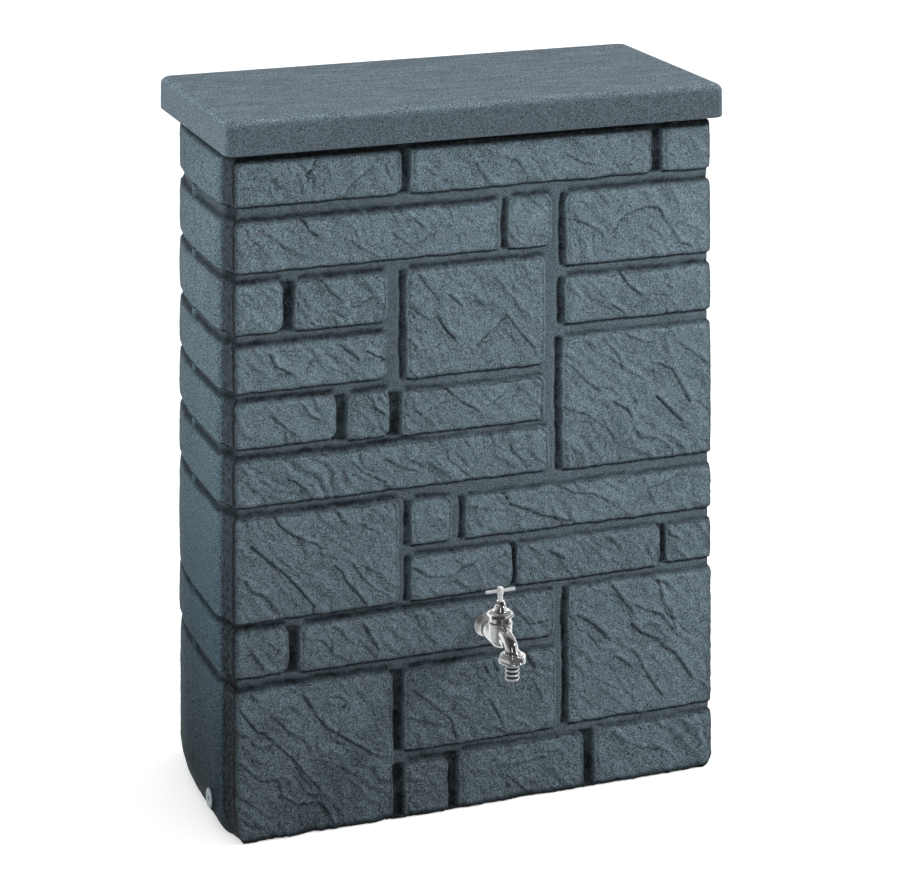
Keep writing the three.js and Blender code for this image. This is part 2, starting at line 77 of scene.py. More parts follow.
# cleavage lines on the stones, mm: strength, then x, z pairs
CREASES = [
    (1, -260, 991, -272, 972, -270, 963), (0.6, -167, 987, -171, 974, -197, 958, -217, 935), (0.5, -245, 962, -253, 953),
    (0.4, -375, 957, -355, 960), (0.4, -322, 953, -305, 963), (0.5, -87, 966, -67, 952), (0.5, -21, 961, -4, 967, 6, 971),
    (0.6, 43, 974, 63, 964, 78, 941, 76, 934), (0.6, 146, 968, 173, 952, 183, 952), (0.4, 232, 960, 244, 944), (1, -277, 904, -271, 889, -256, 880),
    (0.5, -321, 880, -309, 867), (0.4, -304, 867, -281, 854), (0.5, -204, 869, -187, 854, -160, 840), (0.5, -141, 873, -121, 860, -106, 847),
    (0.7, -106, 893, -89, 878), (0.4, -103, 854, -84, 864, -71, 866), (0.6, -364, 870, -351, 877, -342, 867),
    (0.6, 147, 871, 170, 863, 194, 849, 202, 839), (0.5, 194, 905, 207, 892),
    (0.7, 220, 849, 237, 865, 250, 872, 270, 877, 297, 875, 307, 853, 320, 839, 330, 819, 347, 813), (0.5, 320, 844, 337, 852),
    (0.7, -251, 815, -236, 795, -223, 784), (0.6, -203, 769, -170, 781), (0.6, -233, 767, -216, 756), (0.6, -96, 808, -83, 788, -66, 768),
    (0.8, -50, 775, -30, 756), (1, -66, 742, -56, 724, -42, 708), (0.6, -119, 717, -102, 700), (0.7, 45, 732, 18, 714, -5, 693),
    (0.7, 45, 732, 65, 706, 88, 680), (0.3, -13, 771, 7, 752), (0.9, 232, 780, 244, 761, 267, 743), (0.8, 217, 733, 234, 722),
    (0.3, 260, 745, 320, 738), (1, -329, 710, -322, 694, -295, 679), (0.6, -275, 688, -259, 703), (0.8, -225, 717, -202, 700, -195, 693),
    (1, -179, 702, -162, 692, -147, 683), (0.5, -239, 684, -209, 669), (0.7, 148, 648, 175, 619, 195, 604), (0.6, 201, 683, 228, 653, 236, 631),
    (0.6, 231, 689, 275, 670, 288, 667), (0.8, 298, 633, 318, 624, 348, 572), (1, 293, 584, 308, 569, 335, 542), (0.6, 135, 584, 175, 569, 201, 549),
    (0.8, 218, 585, 245, 567, 248, 559), (0.5, 335, 660, 375, 630), (0.5, 315, 513, 338, 500), (0.5, 170, 683, 181, 675),
    (0.6, -329, 622, -304, 600, -288, 586), (0.7, -279, 632, -269, 615, -251, 607), (1, -174, 632, -165, 615, -152, 605),
    (0.4, -195, 615, -168, 590), (0.7, -55, 634, -32, 612, -2, 595), (0.6, -102, 605, -75, 580), (0.5, -82, 605, -52, 615), (0.5, 21, 605, 45, 621),
    (0.5, 48, 602, 68, 628), (0.9, -304, 527, -288, 518, -273, 505), (0.7, -204, 541, -188, 524, -151, 504), (0.6, -148, 537, -128, 524, -101, 514),
    (0.6, -81, 524, -51, 501), (1, -330, 480, -322, 471, -318, 461, -300, 446, -280, 434, -257, 424), (0.7, -257, 424, -250, 405),
    (1, -357, 432, -336, 412, -316, 395, -292, 370, -276, 350, -264, 336, -266, 327), (0.5, -333, 433, -319, 412, -299, 395),
    (0.8, -369, 383, -356, 366, -342, 360, -326, 341), (0.6, -233, 480, -220, 458, -213, 448),
    (0.9, -232, 390, -220, 379, -212, 363, -192, 341, -182, 326), (0.7, -203, 389, -187, 366, -167, 346, -147, 336), (0.5, -190, 385, -160, 369),
    (0.6, -187, 444, -160, 428), (0.5, -257, 412, -227, 399), (0.4, -68, 441, -52, 421), (1, 39, 467, 49, 447, 72, 438, 99, 424, 146, 411),
    (0.7, 126, 467, 152, 453, 189, 445, 209, 433), (0.4, -11, 450, 46, 437), (0.5, 278, 443, 308, 452, 328, 459), (0.4, 255, 427, 275, 433),
    (0.5, 79, 438, 102, 428), (0.7, -103, 369, -83, 355, -53, 350, -30, 359, -7, 369), (0.8, 112, 369, 136, 355), (0.5, 79, 379, 102, 362),
    (0.6, 212, 374, 229, 359), (0.9, 308, 381, 316, 368, 328, 361), (0.7, -365, 288, -341, 252), (0.6, -335, 291, -318, 275),
    (0.6, -272, 287, -249, 281, -235, 265), (0.5, -232, 301, -212, 281), (1, -182, 292, -172, 274, -162, 255), (0.5, -192, 274, -166, 245),
    (0.6, -106, 304, -92, 274, -72, 252), (0.6, 60, 284, 80, 261, 117, 264), (0.9, 216, 303, 236, 276, 252, 254),
    (0.9, 159, 264, 186, 247, 206, 228), (0.7, 256, 267, 272, 257, 299, 247, 319, 221), (0.7, 294, 300, 302, 266, 317, 244, 322, 224),
    (1, 252, 237, 266, 222, 296, 208), (0.9, 226, 192, 249, 173), (1, 319, 188, 336, 166, 349, 146), (0.8, 259, 188, 272, 163, 289, 136, 299, 124),
    (0.6, 269, 224, 322, 182), (0.4, 190, 163, 223, 143), (0.4, 326, 296, 348, 270),
    (1, -377, 197, -350, 160, -337, 154, -297, 115, -277, 89, -254, 62), (0.4, -330, 184, -297, 150),
    (1, -275, 199, -261, 174, -247, 157, -220, 135, -197, 121, -175, 106), (0.5, -248, 189, -215, 180),
    (0.7, -376, 118, -346, 89, -319, 86, -313, 62, -293, 47), (1, -296, 47, -253, 43, -239, 23, -233, 7), (0.9, -290, 99, -280, 82, -267, 69),
    (0.5, -247, 105, -197, 76), (0.5, -274, 105, -247, 111), (0.5, -210, 72, -190, 52), (0.7, -109, 189, -79, 164, -49, 137, -38, 105),
    (0.5, -49, 173, -22, 163), (0.4, -111, 147, -65, 130), (0.9, 8, 208, 14, 196), (0.9, 20, 215, 28, 199), (0.9, 18, 154, 34, 120),
    (0.8, 77, 215, 87, 196), (0.7, 83, 179, 100, 147), (0.5, -114, 27, -104, 13), (0.5, 11, 56, 24, 39), (0.5, 24, 56, 58, 52, 104, 56),
    (0.7, 41, 39, 71, 13), (0.6, 217, 78, 243, 58, 267, 45, 296, 41), (0.5, 322, 51, 342, 61, 359, 48), (0.5, 339, 75, 346, 58),
]

# ---------------------------------------------------------------- noise
def _hash_grid(seed):
    rng = np.random.default_rng(seed)
    ang = rng.random(65536) * 2 * np.pi
    return rng.permutation(65536), np.cos(ang), np.sin(ang)


_TABLES = {}


def perlin(x, y, seed=1):
    if seed not in _TABLES:
        _TABLES[seed] = _hash_grid(seed)
    perm, gx, gy = _TABLES[seed]
    x = np.asarray(x, float)
    y = np.asarray(y, float)
    xi, yi = np.floor(x).astype(int), np.floor(y).astype(int)
    xf, yf = x - xi, y - yi
    u, v = xf ** 3 * (xf * (xf * 6 - 15) + 10), yf ** 3 * (yf * (yf * 6 - 15) + 10)

    def g(ix, iy, dx, dy):
        k = perm[(perm[ix & 65535] + iy) & 65535]
        return gx[k] * dx + gy[k] * dy

    a, b = g(xi, yi, xf, yf), g(xi + 1, yi, xf - 1, yf)
    c, d = g(xi, yi + 1, xf, yf - 1), g(xi + 1, yi + 1, xf - 1, yf - 1)
    return ((a * (1 - u) + b * u) * (1 - v) + (c * (1 - u) + d * u) * v) * 1.41


def fbm(x, y, seed, octaves=4, gain=0.5):
    s, a, f = 0, 1.0, 1.0
    for o in range(octaves):
        s = s + a * perlin(x * f, y * f, seed + o)
        a, f = a * gain, f * 2.03
    return s


def ridged(x, y, seed, octaves=3):
    s, a, f = 0, 1.0, 1.0
    for o in range(octaves):
        s = s + a * (1 - np.abs(perlin(x * f, y * f, seed + o)) * 2)
        a, f = a * 0.5, f * 2.1
    return s


def smooth(t):
    t = np.clip(t, 0, 1)
    return t * t * (3 - 2 * t)


# ---------------------------------------------------------------- meshes
def mesh_from(name, verts, quads, ngons=(), smooth_faces=True):
    me = bpy.data.meshes.new(name)
    v = np.ascontiguousarray(verts, dtype=np.float32)
    me.vertices.add(len(v))
    me.vertices.foreach_set("co", v.ravel())
    loops = [np.asarray(quads, dtype=np.int32).ravel()]
    starts = [np.arange(0, 4 * len(quads), 4, dtype=np.int32)]
    n = 4 * len(quads)
    for g in ngons:
        loops.append(np.asarray(g, dtype=np.int32))
        starts.append(np.array([n], dtype=np.int32))
        n += len(g)
    loops, starts = np.concatenate(loops), np.concatenate(starts)
    me.loops.add(len(loops))
    me.loops.foreach_set("vertex_index", loops)
    me.polygons.add(len(starts))
    me.polygons.foreach_set("loop_start", starts)
    me.update(calc_edges=True)
    me.polygons.foreach_set("use_smooth", np.full(len(starts), smooth_faces))
    ob = bpy.data.objects.new(name, me)
    bpy.context.scene.collection.objects.link(ob)
    return ob


def sharpen(ob, degrees):
    bm = bmesh.new()
    bm.from_mesh(ob.data)
    limit = math.radians(degrees)
    for e in bm.edges:
        e.smooth = len(e.link_faces) == 2 and e.calc_face_angle(3) < limit
    for f in bm.faces:
        f.smooth = True
    bm.to_mesh(ob.data)
    bm.free()


def outward(ob):
    bm = bmesh.new()
    bm.from_mesh(ob.data)
    bmesh.ops.recalc_face_normals(bm, faces=bm.faces)
    if bm.calc_volume(signed=True) < 0:
        bmesh.ops.reverse_faces(bm, faces=bm.faces)
    bm.to_mesh(ob.data)
    bm.free()


def attribute(ob, name, values):
    a = ob.data.attributes.new(name, "FLOAT", "POINT")
    a.data.foreach_set("value", np.asarray(values, dtype=np.float32))


# ---------------------------------------------------------------- stone height field
def seg_distance(px, pz, ax, az, bx, bz):
    dx, dz = bx - ax, bz - az
    ll = dx * dx + dz * dz
    t = np.clip(((px - ax) * dx + (pz - az) * dz) / ll, 0, 1)
    qx, qz = px - (ax + t * dx), pz - (az + t * dz)
    side = (dx * (pz - az) - dz * (px - ax)) / math.sqrt(ll)
    return np.sqrt(qx * qx + qz * qz), side


def front_field(x, z):
    """Height above the stone plane (negative is deeper), a mask of soiling and painted shade, and stone tint at points
    on the front.
    """
    shape = x.shape
    f = np.zeros(shape)
    deep_v, deep_h, line = np.zeros(shape), np.zeros(shape), np.zeros(shape)
    tint, relief = np.zeros(shape), np.zeros(shape)
    edge_in = np.zeros(shape)
    # grime gathers on the upper stones and towards the left
    heavy = np.clip(np.maximum(smooth((90 - x) / 260), 0.7 * smooth((z - 700) / 140)), 0, 1)
    heavy = np.clip(heavy - 0.55 * smooth((z - 440) / 60) * smooth((700 - z) / 60) * smooth((x + 150) / 90), 0, 1)
    for i, (x0, x1, z0, z1) in enumerate(STONES):
        wob = lambda a, k: 1.5 * fbm(a / 34.0, np.full_like(a, 3.7 * i + k), 40 + k, 3)
        X0 = (x0 if x0 > -380 else x0 - 80) + wob(z, 1)
        X1 = (x1 if x1 < 380 else x1 + 80) + wob(z, 2)
        Z0 = (z0 if z0 > 10 else z0 - 20) + 0.8 * wob(x, 3)
        Z1 = z1 + 1.2 * wob(x, 4)
        r = min(13.0, 0.16 * (z1 - z0) + 2, 0.2 * (x1 - x0))
        qx = np.maximum(X0 - x, x - X1) + r
        qz = np.maximum(Z0 - z, z - Z1) + r
        sd = np.hypot(np.maximum(qx, 0), np.maximum(qz, 0)) + np.minimum(np.maximum(qx, qz), 0) - r
        a = 1 / (1 + np.exp(np.clip((qz - qx) / 1.6, -30, 30)))
        left, low = (X0 - x) > (x - X1), (Z0 - z) > (z - Z1)
        w = a * np.where(left, 6.0 if x0 in (62, 310) else 9.0, 6.0) + (1 - a) * np.where(low, 2.2, 5.5)
        fi = 1 - smooth(sd / w)
        new = fi > f
        f = np.maximum(f, fi)
        inside = sd < 0.5
        tint = np.where(inside, ((i * 7919) % 13 - 6) / 6.0, tint)
        edge_in = np.where(inside, 1 - smooth(-sd / 7.0), edge_in)
        near_x = (z > Z0 - 3) & (z < Z1 + 6)
        dl = X0 - x
        reach = 10.0 + 2.5 * fbm(z / 40.0, np.full_like(z, 1.3 * i), 47, 2)
        ramp = 8.0
        core = 0.26 * np.exp(-((dl - 0.62 * reach) / 2.4) ** 2)
        if (x0, z0) in WIDE:
            core = 0.0 * core
            reach, ramp = reach + 15.5, (6.5 if x0 in (62, 310) else 11.0)
        # painted shade: the dark band in each vertical joint, beside the stone on its right
        deep_v = np.maximum(deep_v, np.where(near_x & (dl > -2), smooth((dl + 1) / ramp) * (1 - smooth((dl - reach) / 8)) * (1 - core) * smooth((z - Z0 + 3) / 6) * smooth((Z1 + 6 - z) / 8), 0))
        near_z = (x > X0 - 5) & (x < X1 + 3)
        dt = z - Z1
        mid = 4.8 + 1.8 * fbm(x / 30.0, np.full_like(x, 2.3 * i), 48, 2)
        deep_h = np.maximum(deep_h, np.where(near_z & (dt > -5), (0.78 + 0.22 * heavy) * np.exp(-((dt - mid * (0.55 + 0.45 * heavy)) / (2.7 + 3.3 * heavy)) ** 2) * smooth((x - X0 + 6) / 14) * smooth((X1 + 4 - x) / 10), 0))
        db = Z0 - z
        # under each stone's lower edge: a shallow groove, also painted dark as its undercut shadow
        line = np.maximum(line, np.where((x > X0 - 3) & (x < X1 - 2) & (np.abs(db - 1.7) < 5.5) & (z0 > 10), np.exp(-((db - 1.7) / 2.1) ** 2) * smooth((X1 + 1 - x) / 9), 0))
        # each stone leans and bulges a little
        lx, lz = (x - (x0 + x1) / 2) / max(60, (x1 - x0) / 2), (z - (z0 + z1) / 2) / max(30, (z1 - z0) / 2)
        s1, s2, s3 = ((i * 37) % 11 - 5) / 5, ((i * 53) % 13 - 6) / 6, ((i * 71) % 7 - 3) / 3
        relief = np.where(inside, 0.55 * s1 * lx + 0.5 * s2 * lz + 0.6 * s3 - 0.6, relief)
    # split-slate surface: long ridges running down to the right, broken by flakes and small pits
    c, sn = math.cos(math.radians(-46)), math.sin(math.radians(-46))
    u, v = x * c + z * sn, -x * sn + z * c
    warp = 15 * fbm(x / 80, z / 80, 11, 3)
    patch = smooth((fbm(x / 120, z / 120, 15, 2) + 0.35) / 0.7)
    layers = fbm(u / 70, (v + warp) / 17, 21, 4, 0.55)
    steps = ridged(u / 95, (v + warp * 1.3) / 30, 31, 3) - 1.2
    cross = ridged((u + warp) / 26, v / 90, 36, 2) - 1.0
    flakes = fbm(x / 15.0, z / 13.0, 41, 3, 0.6)
    grain = fbm(x / 5.2, z / 5.2, 51, 3, 0.65)
    tex = 1.75 * layers + (0.5 + 1.1 * patch) * steps + 0.5 * (1 - patch) * cross + 0.6 * flakes + 0.30 * grain
    q = (v + 1.3 * warp) / 21 + 0.5 * fbm(u / 55, v / 55, 91, 2)
    fr = q - np.floor(q)
    ledge = np.where(fr < 0.9, 0.5 - fr / 0.9, (fr - 0.9) / 0.1 - 0.5)
    ledge = ledge * smooth((fbm(u / 62, v / 34, 95, 3) + 0.10) / 0.3)
    tex = tex + 2.0 * ledge
    # the bottom left stone and the long course are the roughest, the middle right ones the smoothest
    gain = 1 + 0.35 * smooth((-125 - x) / 20) * smooth((225 - z) / 20) + 0.25 * smooth((z - 488) / 8) * smooth((562 - z) / 8) - 0.16 * smooth((x + 120) / 60) * smooth((z - 565) / 20)
    tex = tex * gain
    cre, scarp, lip = np.zeros(shape), np.zeros(shape), np.zeros(shape)
    jit = 2.3 * fbm(x / 9, z / 9, 61, 4)
    thick = 1.55 + 0.8 * fbm(x / 14, z / 14, 63, 2)
    for item in CREASES:
        k, p = item[0], item[1:]
        tail = max(1, len(p) // 2 - 1)
        for n, j in enumerate(range(0, len(p) - 3, 2)):
            ax, az, bx, bz = p[j], p[j + 1], p[j + 2], p[j + 3]
            m = (x > min(ax, bx) - 30) & (x < max(ax, bx) + 30) & (z > min(az, bz) - 30) & (z < max(az, bz) + 30)
            if not m.any():
                continue
            d, side = seg_distance(x[m] + jit[m], z[m] - jit[m], ax, az, bx, bz)
            cre[m] = np.maximum(cre[m], k * np.exp(-(d / thick[m]) ** 2))
            up = side * (1 if bx >= ax else -1) > 0
            scarp[m] = np.maximum(scarp[m], k * np.exp(-d / 11.0) * ~up)
            lip[m] = np.maximum(lip[m], k * np.exp(-((d - 4.5) / 4.0) ** 2) * up)
    tex = tex - 2.1 * cre - 1.5 * scarp + 0.9 * lip
    h_stone = relief + tex * (0.7 + 0.3 * (1 - edge_in)) - 1.9 * edge_in ** 1.6
    soft = np.clip(np.maximum(deep_v * 1.1, 0.85 * deep_h), 0, 1)
    floor = -(5.0 + 5.0 * soft) + 0.6 * fbm(x / 13, z / 13, 71, 3) + 0.15 * grain
    # the joints run out on a thin lip along the ground
    lip_z = 1 - smooth((z - 2.5) / 4.5)
    f = np.maximum(f, 0.92 * lip_z)
    h = h_stone * f + floor * (1 - f) - 1.3 * line
    out = 1 - f
    blot = 0.96 + 0.22 * fbm(x / 26, z / 26, 81, 2) + 0.22 * fbm(x / 4.2, z / 4.2, 83, 2)
    # painted shade in the vertical joints, under each stone's lower edge and along the cleavage creases; the smudge
    # over each stone's top is dirt
    dirt_and_shade = np.maximum.reduce([0.96 * deep_v * smooth(out * 1.7) * blot, 0.90 * deep_h * smooth((out + 0.35) * 1.4) * blot, 1.05 * line * (0.8 + 0.35 * blot), 0.60 * np.clip(cre, 0, 1) * f])
    dirt_and_shade = np.maximum(dirt_and_shade, (0.30 + 0.14 * heavy) * smooth(out * 1.3))
    # painted shadow under the lid's overhang along the top of the front
    dirt_and_shade = np.maximum(dirt_and_shade, smooth((z - 992.5) / 6.5))
    # the relief value becomes colour: painted shade below each scarp, painted light on its lip, and painted light and
    # shade over the split surface
    shade = np.clip(0.55 * scarp - 0.4 * lip, -0.5, 0.6)
    return np.minimum(h, 1.6), np.clip(dirt_and_shade, 0, 1), tint * f, np.clip(0.55 * tex - shade * 2.2, -3, 3) * f


def side_field(y, z, courses, seed):
    """The same for an end wall, which is smoother and has one stone to a course."""
    f = np.zeros(y.shape)
    deep, line, tint = np.zeros(y.shape), np.zeros(y.shape), np.zeros(y.shape)
    for i, (z0, z1) in enumerate(courses):
        Z0 = (z0 if z0 > 10 else z0 - 20) + 1.2 * fbm(y / 30.0, np.full_like(y, 5.1 * i), seed, 3)
        Z1 = z1 + 1.2 * fbm(y / 30.0, np.full_like(y, 5.1 * i + 2), seed + 1, 3)
        sd = np.maximum(Z0 - z, z - Z1)
        low = (Z0 - z) > (z - Z1)
        fi = 1 - smooth((sd + 1.5) / np.where(low, 5.0, 8.0))
        f = np.maximum(f, fi)
        inside = sd < 0
        tint = np.where(inside, ((i * 4231 + seed) % 9 - 4) / 4.0, tint)
        deep = np.maximum(deep, np.where(z > Z1 - 1, 1 - smooth((z - Z1 - 6) / 9), 0))
        line = np.maximum(line, np.where((z0 > 10), np.exp(-((Z0 - z - 2.2) / 1.7) ** 2), 0))
    top = smooth((z - 1000) / 3)
    web = smooth((8 - np.abs(y - 8)) / 3.0)
    fade = 1 - smooth((y - 150) / 26)
    f = np.maximum(f, web * 0.72 * (1 - top))
    tex = 0.55 * fbm(y / 45, z / 28, seed + 3, 3) + 0.22 * fbm(y / 6, z / 6, seed + 7, 2)
    lean = np.zeros(y.shape)
    for i, (z0, z1) in enumerate(courses):
        k = np.clip((z - z0) / max(1, z1 - z0), 0, 1)
        lean = lean + ((z >= z0 - 3) & (z <= z1 + 3)) * (((i * 37 + seed) % 9 - 6) / 6.0 - 1.1 * (2 * k - 1) ** 4)
    h = (tex + lean * 1.1) * f - (JOINT - 1.2 + 0.5 * fbm(y / 13, z / 13, seed + 5, 2)) * (1 - f)
    h = h * np.where(z > 1003, 1, 1 - 0.85 * (1 - fade))
    out = 1 - f
    band = smooth((-133 - y) / 9)
    broken = 0.82 + 0.5 * fbm(y / 16, z / 16, seed + 11, 2)
    # painted shadow under each course's lower edge, dirt over each course's top and a darker tone in the joints
    dirt_and_shade = np.clip(np.maximum(0.98 * line * broken * smooth(out * 2.4), 0.40 * deep * smooth(out * 1.5)) + 0.28 * out, 0, 1)
    streak = 0.9 + 0.5 * fbm(y / 5, z / 7, seed + 9, 3)
    # painted shade in the recessed band at the front corner and in the inner corner beside the front stones, and
    # painted shadow under the lid
    dirt_and_shade = np.maximum(dirt_and_shade, (0.66 + 0.20 * smooth((430 - z) / 220)) * band * streak) + 0.2 * band * out
    dirt_and_shade = np.maximum(dirt_and_shade, 1.0 * smooth((-165 - y) / 6))
    dirt_and_shade = np.maximum(dirt_and_shade, 0.55 * smooth((z - 1000) / 4))
    h = h - 1.6 * smooth((-150 - y) / 10) * f
    return np.minimum(h, 0.6), np.clip(dirt_and_shade, 0, 1), tint * f * 0.6, tex * 0.5


def lines(a, b, base, fine, marks, before, after):
    """Grid positions from a to b, closer together around each mark."""
    out, p = [a], a
    marks = sorted(marks)
    while p < b:
        near = any(m - before <= p <= m + after for m in marks)
        p += fine if near else base
        out.append(p)
    out = np.array(out)
    return a + (out - a) * (b - a) / (out[-1] - a)


# end outline from the front crease to the back, left end, mm
END = [(-386, FACE_Y), (-386.8, FACE_Y + 6), (-388.5, -160), (-390.5, -146), (-393.5, -138), (-398.2, -130.5), (-399.7, -124), (-HALF_W, -112),
       (-HALF_W, 10), (-397.6, 62), (-389.5, 118), (-379, 154), (-368, 171), (-356, 177.6), (-346, BACK_Y)]
PLUG_LO, PLUG_HI = mmbox("side_plug")
PLUG = ((PLUG_LO[1] + PLUG_HI[1]) / 2, (PLUG_LO[2] + PLUG_HI[2]) / 2)
ROSE_LO, ROSE_HI = mmbox("tap_rosette")
ROSE = ((ROSE_LO[0] + ROSE_HI[0]) / 2, (ROSE_LO[2] + ROSE_HI[2]) / 2)


def resample(poly, base):
    p = np.array(poly, float)
    seg = np.hypot(*np.diff(p, axis=0).T)
    s = np.r_[0, np.cumsum(seg)]
    n = max(2, int(round(s[-1] / base)))
    t = np.linspace(0, s[-1], n + 1)
    return np.c_[np.interp(t, s, p[:, 0]), np.interp(t, s, p[:, 1])]


def foot_limit(z, rx, rz):
    return 400 - rx + rx * np.sqrt(np.clip(1 - ((rz - np.minimum(z, rz)) / rz) ** 2, 0, 1))


def build_tank():
    k = 1.0
    xs = lines(-386, 386, 2.1 * k, 1.5 * k, [m for st in STONES for m in (st[0], st[1]) if abs(m) < 380], 5, 5)
    zs = lines(0, RIM_Z, 2.1 * k, 1.35 * k, [m for st in STONES for m in (st[2], st[3])] + [m for st in RIGHT for m in st], 4, 6)
    front = np.c_[xs, np.full(len(xs), FACE_Y)]
    left = resample(END, 3.0 * k)                    # front to back
    right = left * [-1, 1]
    back = np.c_[np.linspace(346, -346, int(60 / k)), np.full(int(60 / k), BACK_Y)]
    loop = np.vstack([front, right[1:], back[1:], left[::-1][1:-1]])
    kind = np.r_[np.zeros(len(front)), np.ones(len(right) - 1), np.full(len(back) - 1, 2), np.full(len(left) - 2, 3)].astype(int)
    n = len(loop)
    # outward normals, turned gradually across the corners
    step = np.roll(loop, -1, 0) - loop
    ln = np.hypot(step[:, 0], step[:, 1])
    s = np.r_[0, np.cumsum(ln)][:-1]
    total = ln.sum()
    nrm = np.c_[step[:, 1], -step[:, 0]] / ln[:, None]
    nrm = (nrm + np.roll(nrm, 1, 0)) / 2
    fine_s = np.arange(0, total, 1.0)
    fn = np.c_[np.interp(fine_s, s, nrm[:, 0], period=total), np.interp(fine_s, s, nrm[:, 1], period=total)]
    ker = np.exp(-(np.arange(-24, 25) / 8.0) ** 2)
    ker /= ker.sum()
    pad = np.vstack([fn[-24:], fn, fn[:24]])
    fn = np.c_[np.convolve(pad[:, 0], ker, "valid"), np.convolve(pad[:, 1], ker, "valid")]
    nrm = np.c_[np.interp(s, fine_s, fn[:, 0], period=total), np.interp(s, fine_s, fn[:, 1], period=total)]
    nrm /= np.hypot(nrm[:, 0], nrm[:, 1])[:, None]

    X, Z = np.meshgrid(loop[:, 0], zs)
    Y, _ = np.meshgrid(loop[:, 1], zs)
    H = np.zeros(X.shape)
    soil_shade = np.zeros(X.shape)
    T = np.zeros(X.shape)
    R = np.zeros(X.shape)
    cf, cr, cb, cl = kind == 0, kind == 1, kind == 2, kind == 3
    H[:, cf], soil_shade[:, cf], T[:, cf], R[:, cf] = front_field(X[:, cf], Z[:, cf])
    H[:, cr], soil_shade[:, cr], T[:, cr], R[:, cr] = side_field(Y[:, cr], Z[:, cr], RIGHT, 131)
    H[:, cl], soil_shade[:, cl], T[:, cl], R[:, cl] = side_field(Y[:, cl], Z[:, cl], LEFT, 91)
    H[:, cb] = 0.4 * fbm(X[:, cb] / 60, Z[:, cb] / 60, 201, 3) - 0.5
    H[:, cb] -= (JOINT - 0.5) * smooth((Z[:, cb] - 1001) / 3) * 0.15
    # the rim above the top course is set back all round
    rim = smooth((Z - 1001.5) / 3.0)
    front_rim = cf[None, :] * rim
    H = np.where(cf[None, :], H, H)
    # last few mm of the front next to each crease blend into the end walls
    for col, courses, sgn in ((cl, LEFT, -1), (cr, RIGHT, 1)):
        m = cf & (loop[:, 0] * sgn > 374)
        w = smooth((loop[m, 0] * sgn - 374) / 12)[None, :] * 0.5
        hs, ds, _, _ = side_field(np.full_like(Y[:, m], -179.0), Z[:, m], courses, 91 if sgn < 0 else 131)
        H[:, m] = H[:, m] * (1 - w) + hs * w
        soil_shade[:, m] = soil_shade[:, m] * (1 - w) + np.maximum(ds, soil_shade[:, m] * 0.6) * w
    # painted shade: a dark line down each front crease, the occluded inner corner beside the end walls
    crease_shade_line = np.exp(-((386 - np.abs(X)) / 3.2) ** 2) * cf[None, :] * (0.8 + 0.4 * fbm(X / 6, Z / 20, 401, 2))
    soil_shade = np.maximum(soil_shade, 0.72 * crease_shade_line)
    H = H - 1.8 * np.exp(-((386 - np.abs(X)) / 3.0) ** 2) * cf[None, :]
    # painted shadow under the lid along the top of the front
    soil_shade = np.maximum(soil_shade, 0.97 * smooth((Z - 999.5) / 4) * cf[None, :])
    # flat pads and pockets under the rosette and the plug
    rr = np.hypot(X - ROSE[0], Z - ROSE[1])
    pad = (1 - smooth((rr - 18.5) / 6)) * cf[None, :]
    H = H * (1 - pad) + 0.0 * pad
    soil_shade = soil_shade * (1 - pad * 0.8)
    H = np.where(cf[None, :] & (rr < 14.2), -12.0, H)
    rp = np.hypot(Y - PLUG[0], Z - PLUG[1])
    pad = (1 - smooth((rp - 15) / 6)) * cl[None, :]
    H = H * (1 - pad)
    H = np.where(cl[None, :] & (rp < 11.5), -12.0, H)
    # foot: front and back edges rounded over, ends swept up
    foot = np.sqrt(np.clip(1 - ((4 - np.minimum(Z, 4)) / 4) ** 2, 0, 1))
    H = H - 3.5 * (1 - foot) * (cf | cb)[None, :]
    # painted shade where the foot meets the floor, fading over the lowest 30 mm of the end walls
    soil_shade = np.maximum(soil_shade, 0.95 * (1 - smooth((Z - 3) / 9)) * (cf | cb)[None, :])
    soil_shade = np.maximum(soil_shade, 0.6 * (1 - smooth((Z - 4) / 30)) * (cr | cl)[None, :])
    PX = X + nrm[None, :, 0] * H
    PY = Y + nrm[None, :, 1] * H
    ax = np.abs(PX)
    lim = np.where(PX < 0, foot_limit(Z, 18, 60), foot_limit(Z, 18, 25))
    seat = (1 - smooth((rp - 17) / 5)) * cl[None, :]
    lim = lim * (1 - seat) + 400 * seat
    PX = np.sign(PX) * np.where(ax > 300, 300 + (ax - 300) * (lim - 300) / 100, ax)
    rings = [np.stack([PX, PY, Z], -1).reshape(-1, 3)]
    attr_soil_shade, attr_t, attr_r = [soil_shade.ravel()], [T.ravel()], [R.ravel()]
    nz = len(zs)
    # rim, opening, inner walls and floor, as more rings over the same columns
    lo, hi = np.array([-350.0, -125.0]), np.array([350.0, 135.0])
    cen = (lo + hi) / 2

    def rect_ring(h0, h1, r, z):
        # nearest point of a rounded rectangle in the direction of each column
        c, hx, hy = (h0 + h1) / 2, (h1[0] - h0[0]) / 2, (h1[1] - h0[1]) / 2
        q = loop - c
        t = np.minimum(hx / np.maximum(np.abs(q[:, 0]), 1e-6), hy / np.maximum(np.abs(q[:, 1]), 1e-6))
        q = q * t[:, None]
        core = np.clip(q, [-hx + r, -hy + r], [hx - r, hy - r])
        d = q - core
        l = np.hypot(d[:, 0], d[:, 1])
        q = core + d / np.maximum(l, 1e-9)[:, None] * np.minimum(l, r)[:, None]
        return np.c_[q + c, np.full(n, z)]

    inner = np.c_[loop - nrm * 15.5, np.zeros(n)]
    inner[:, 1] = np.minimum(inner[:, 1], BACK_Y - 5)
    edge = np.c_[PX[-1], PY[-1]]

    def toward(t, z):
        o = rect_ring(lo, hi, 30, z)[:, :2]
        return np.c_[edge * (1 - t) + o * t, np.full(n, z)]

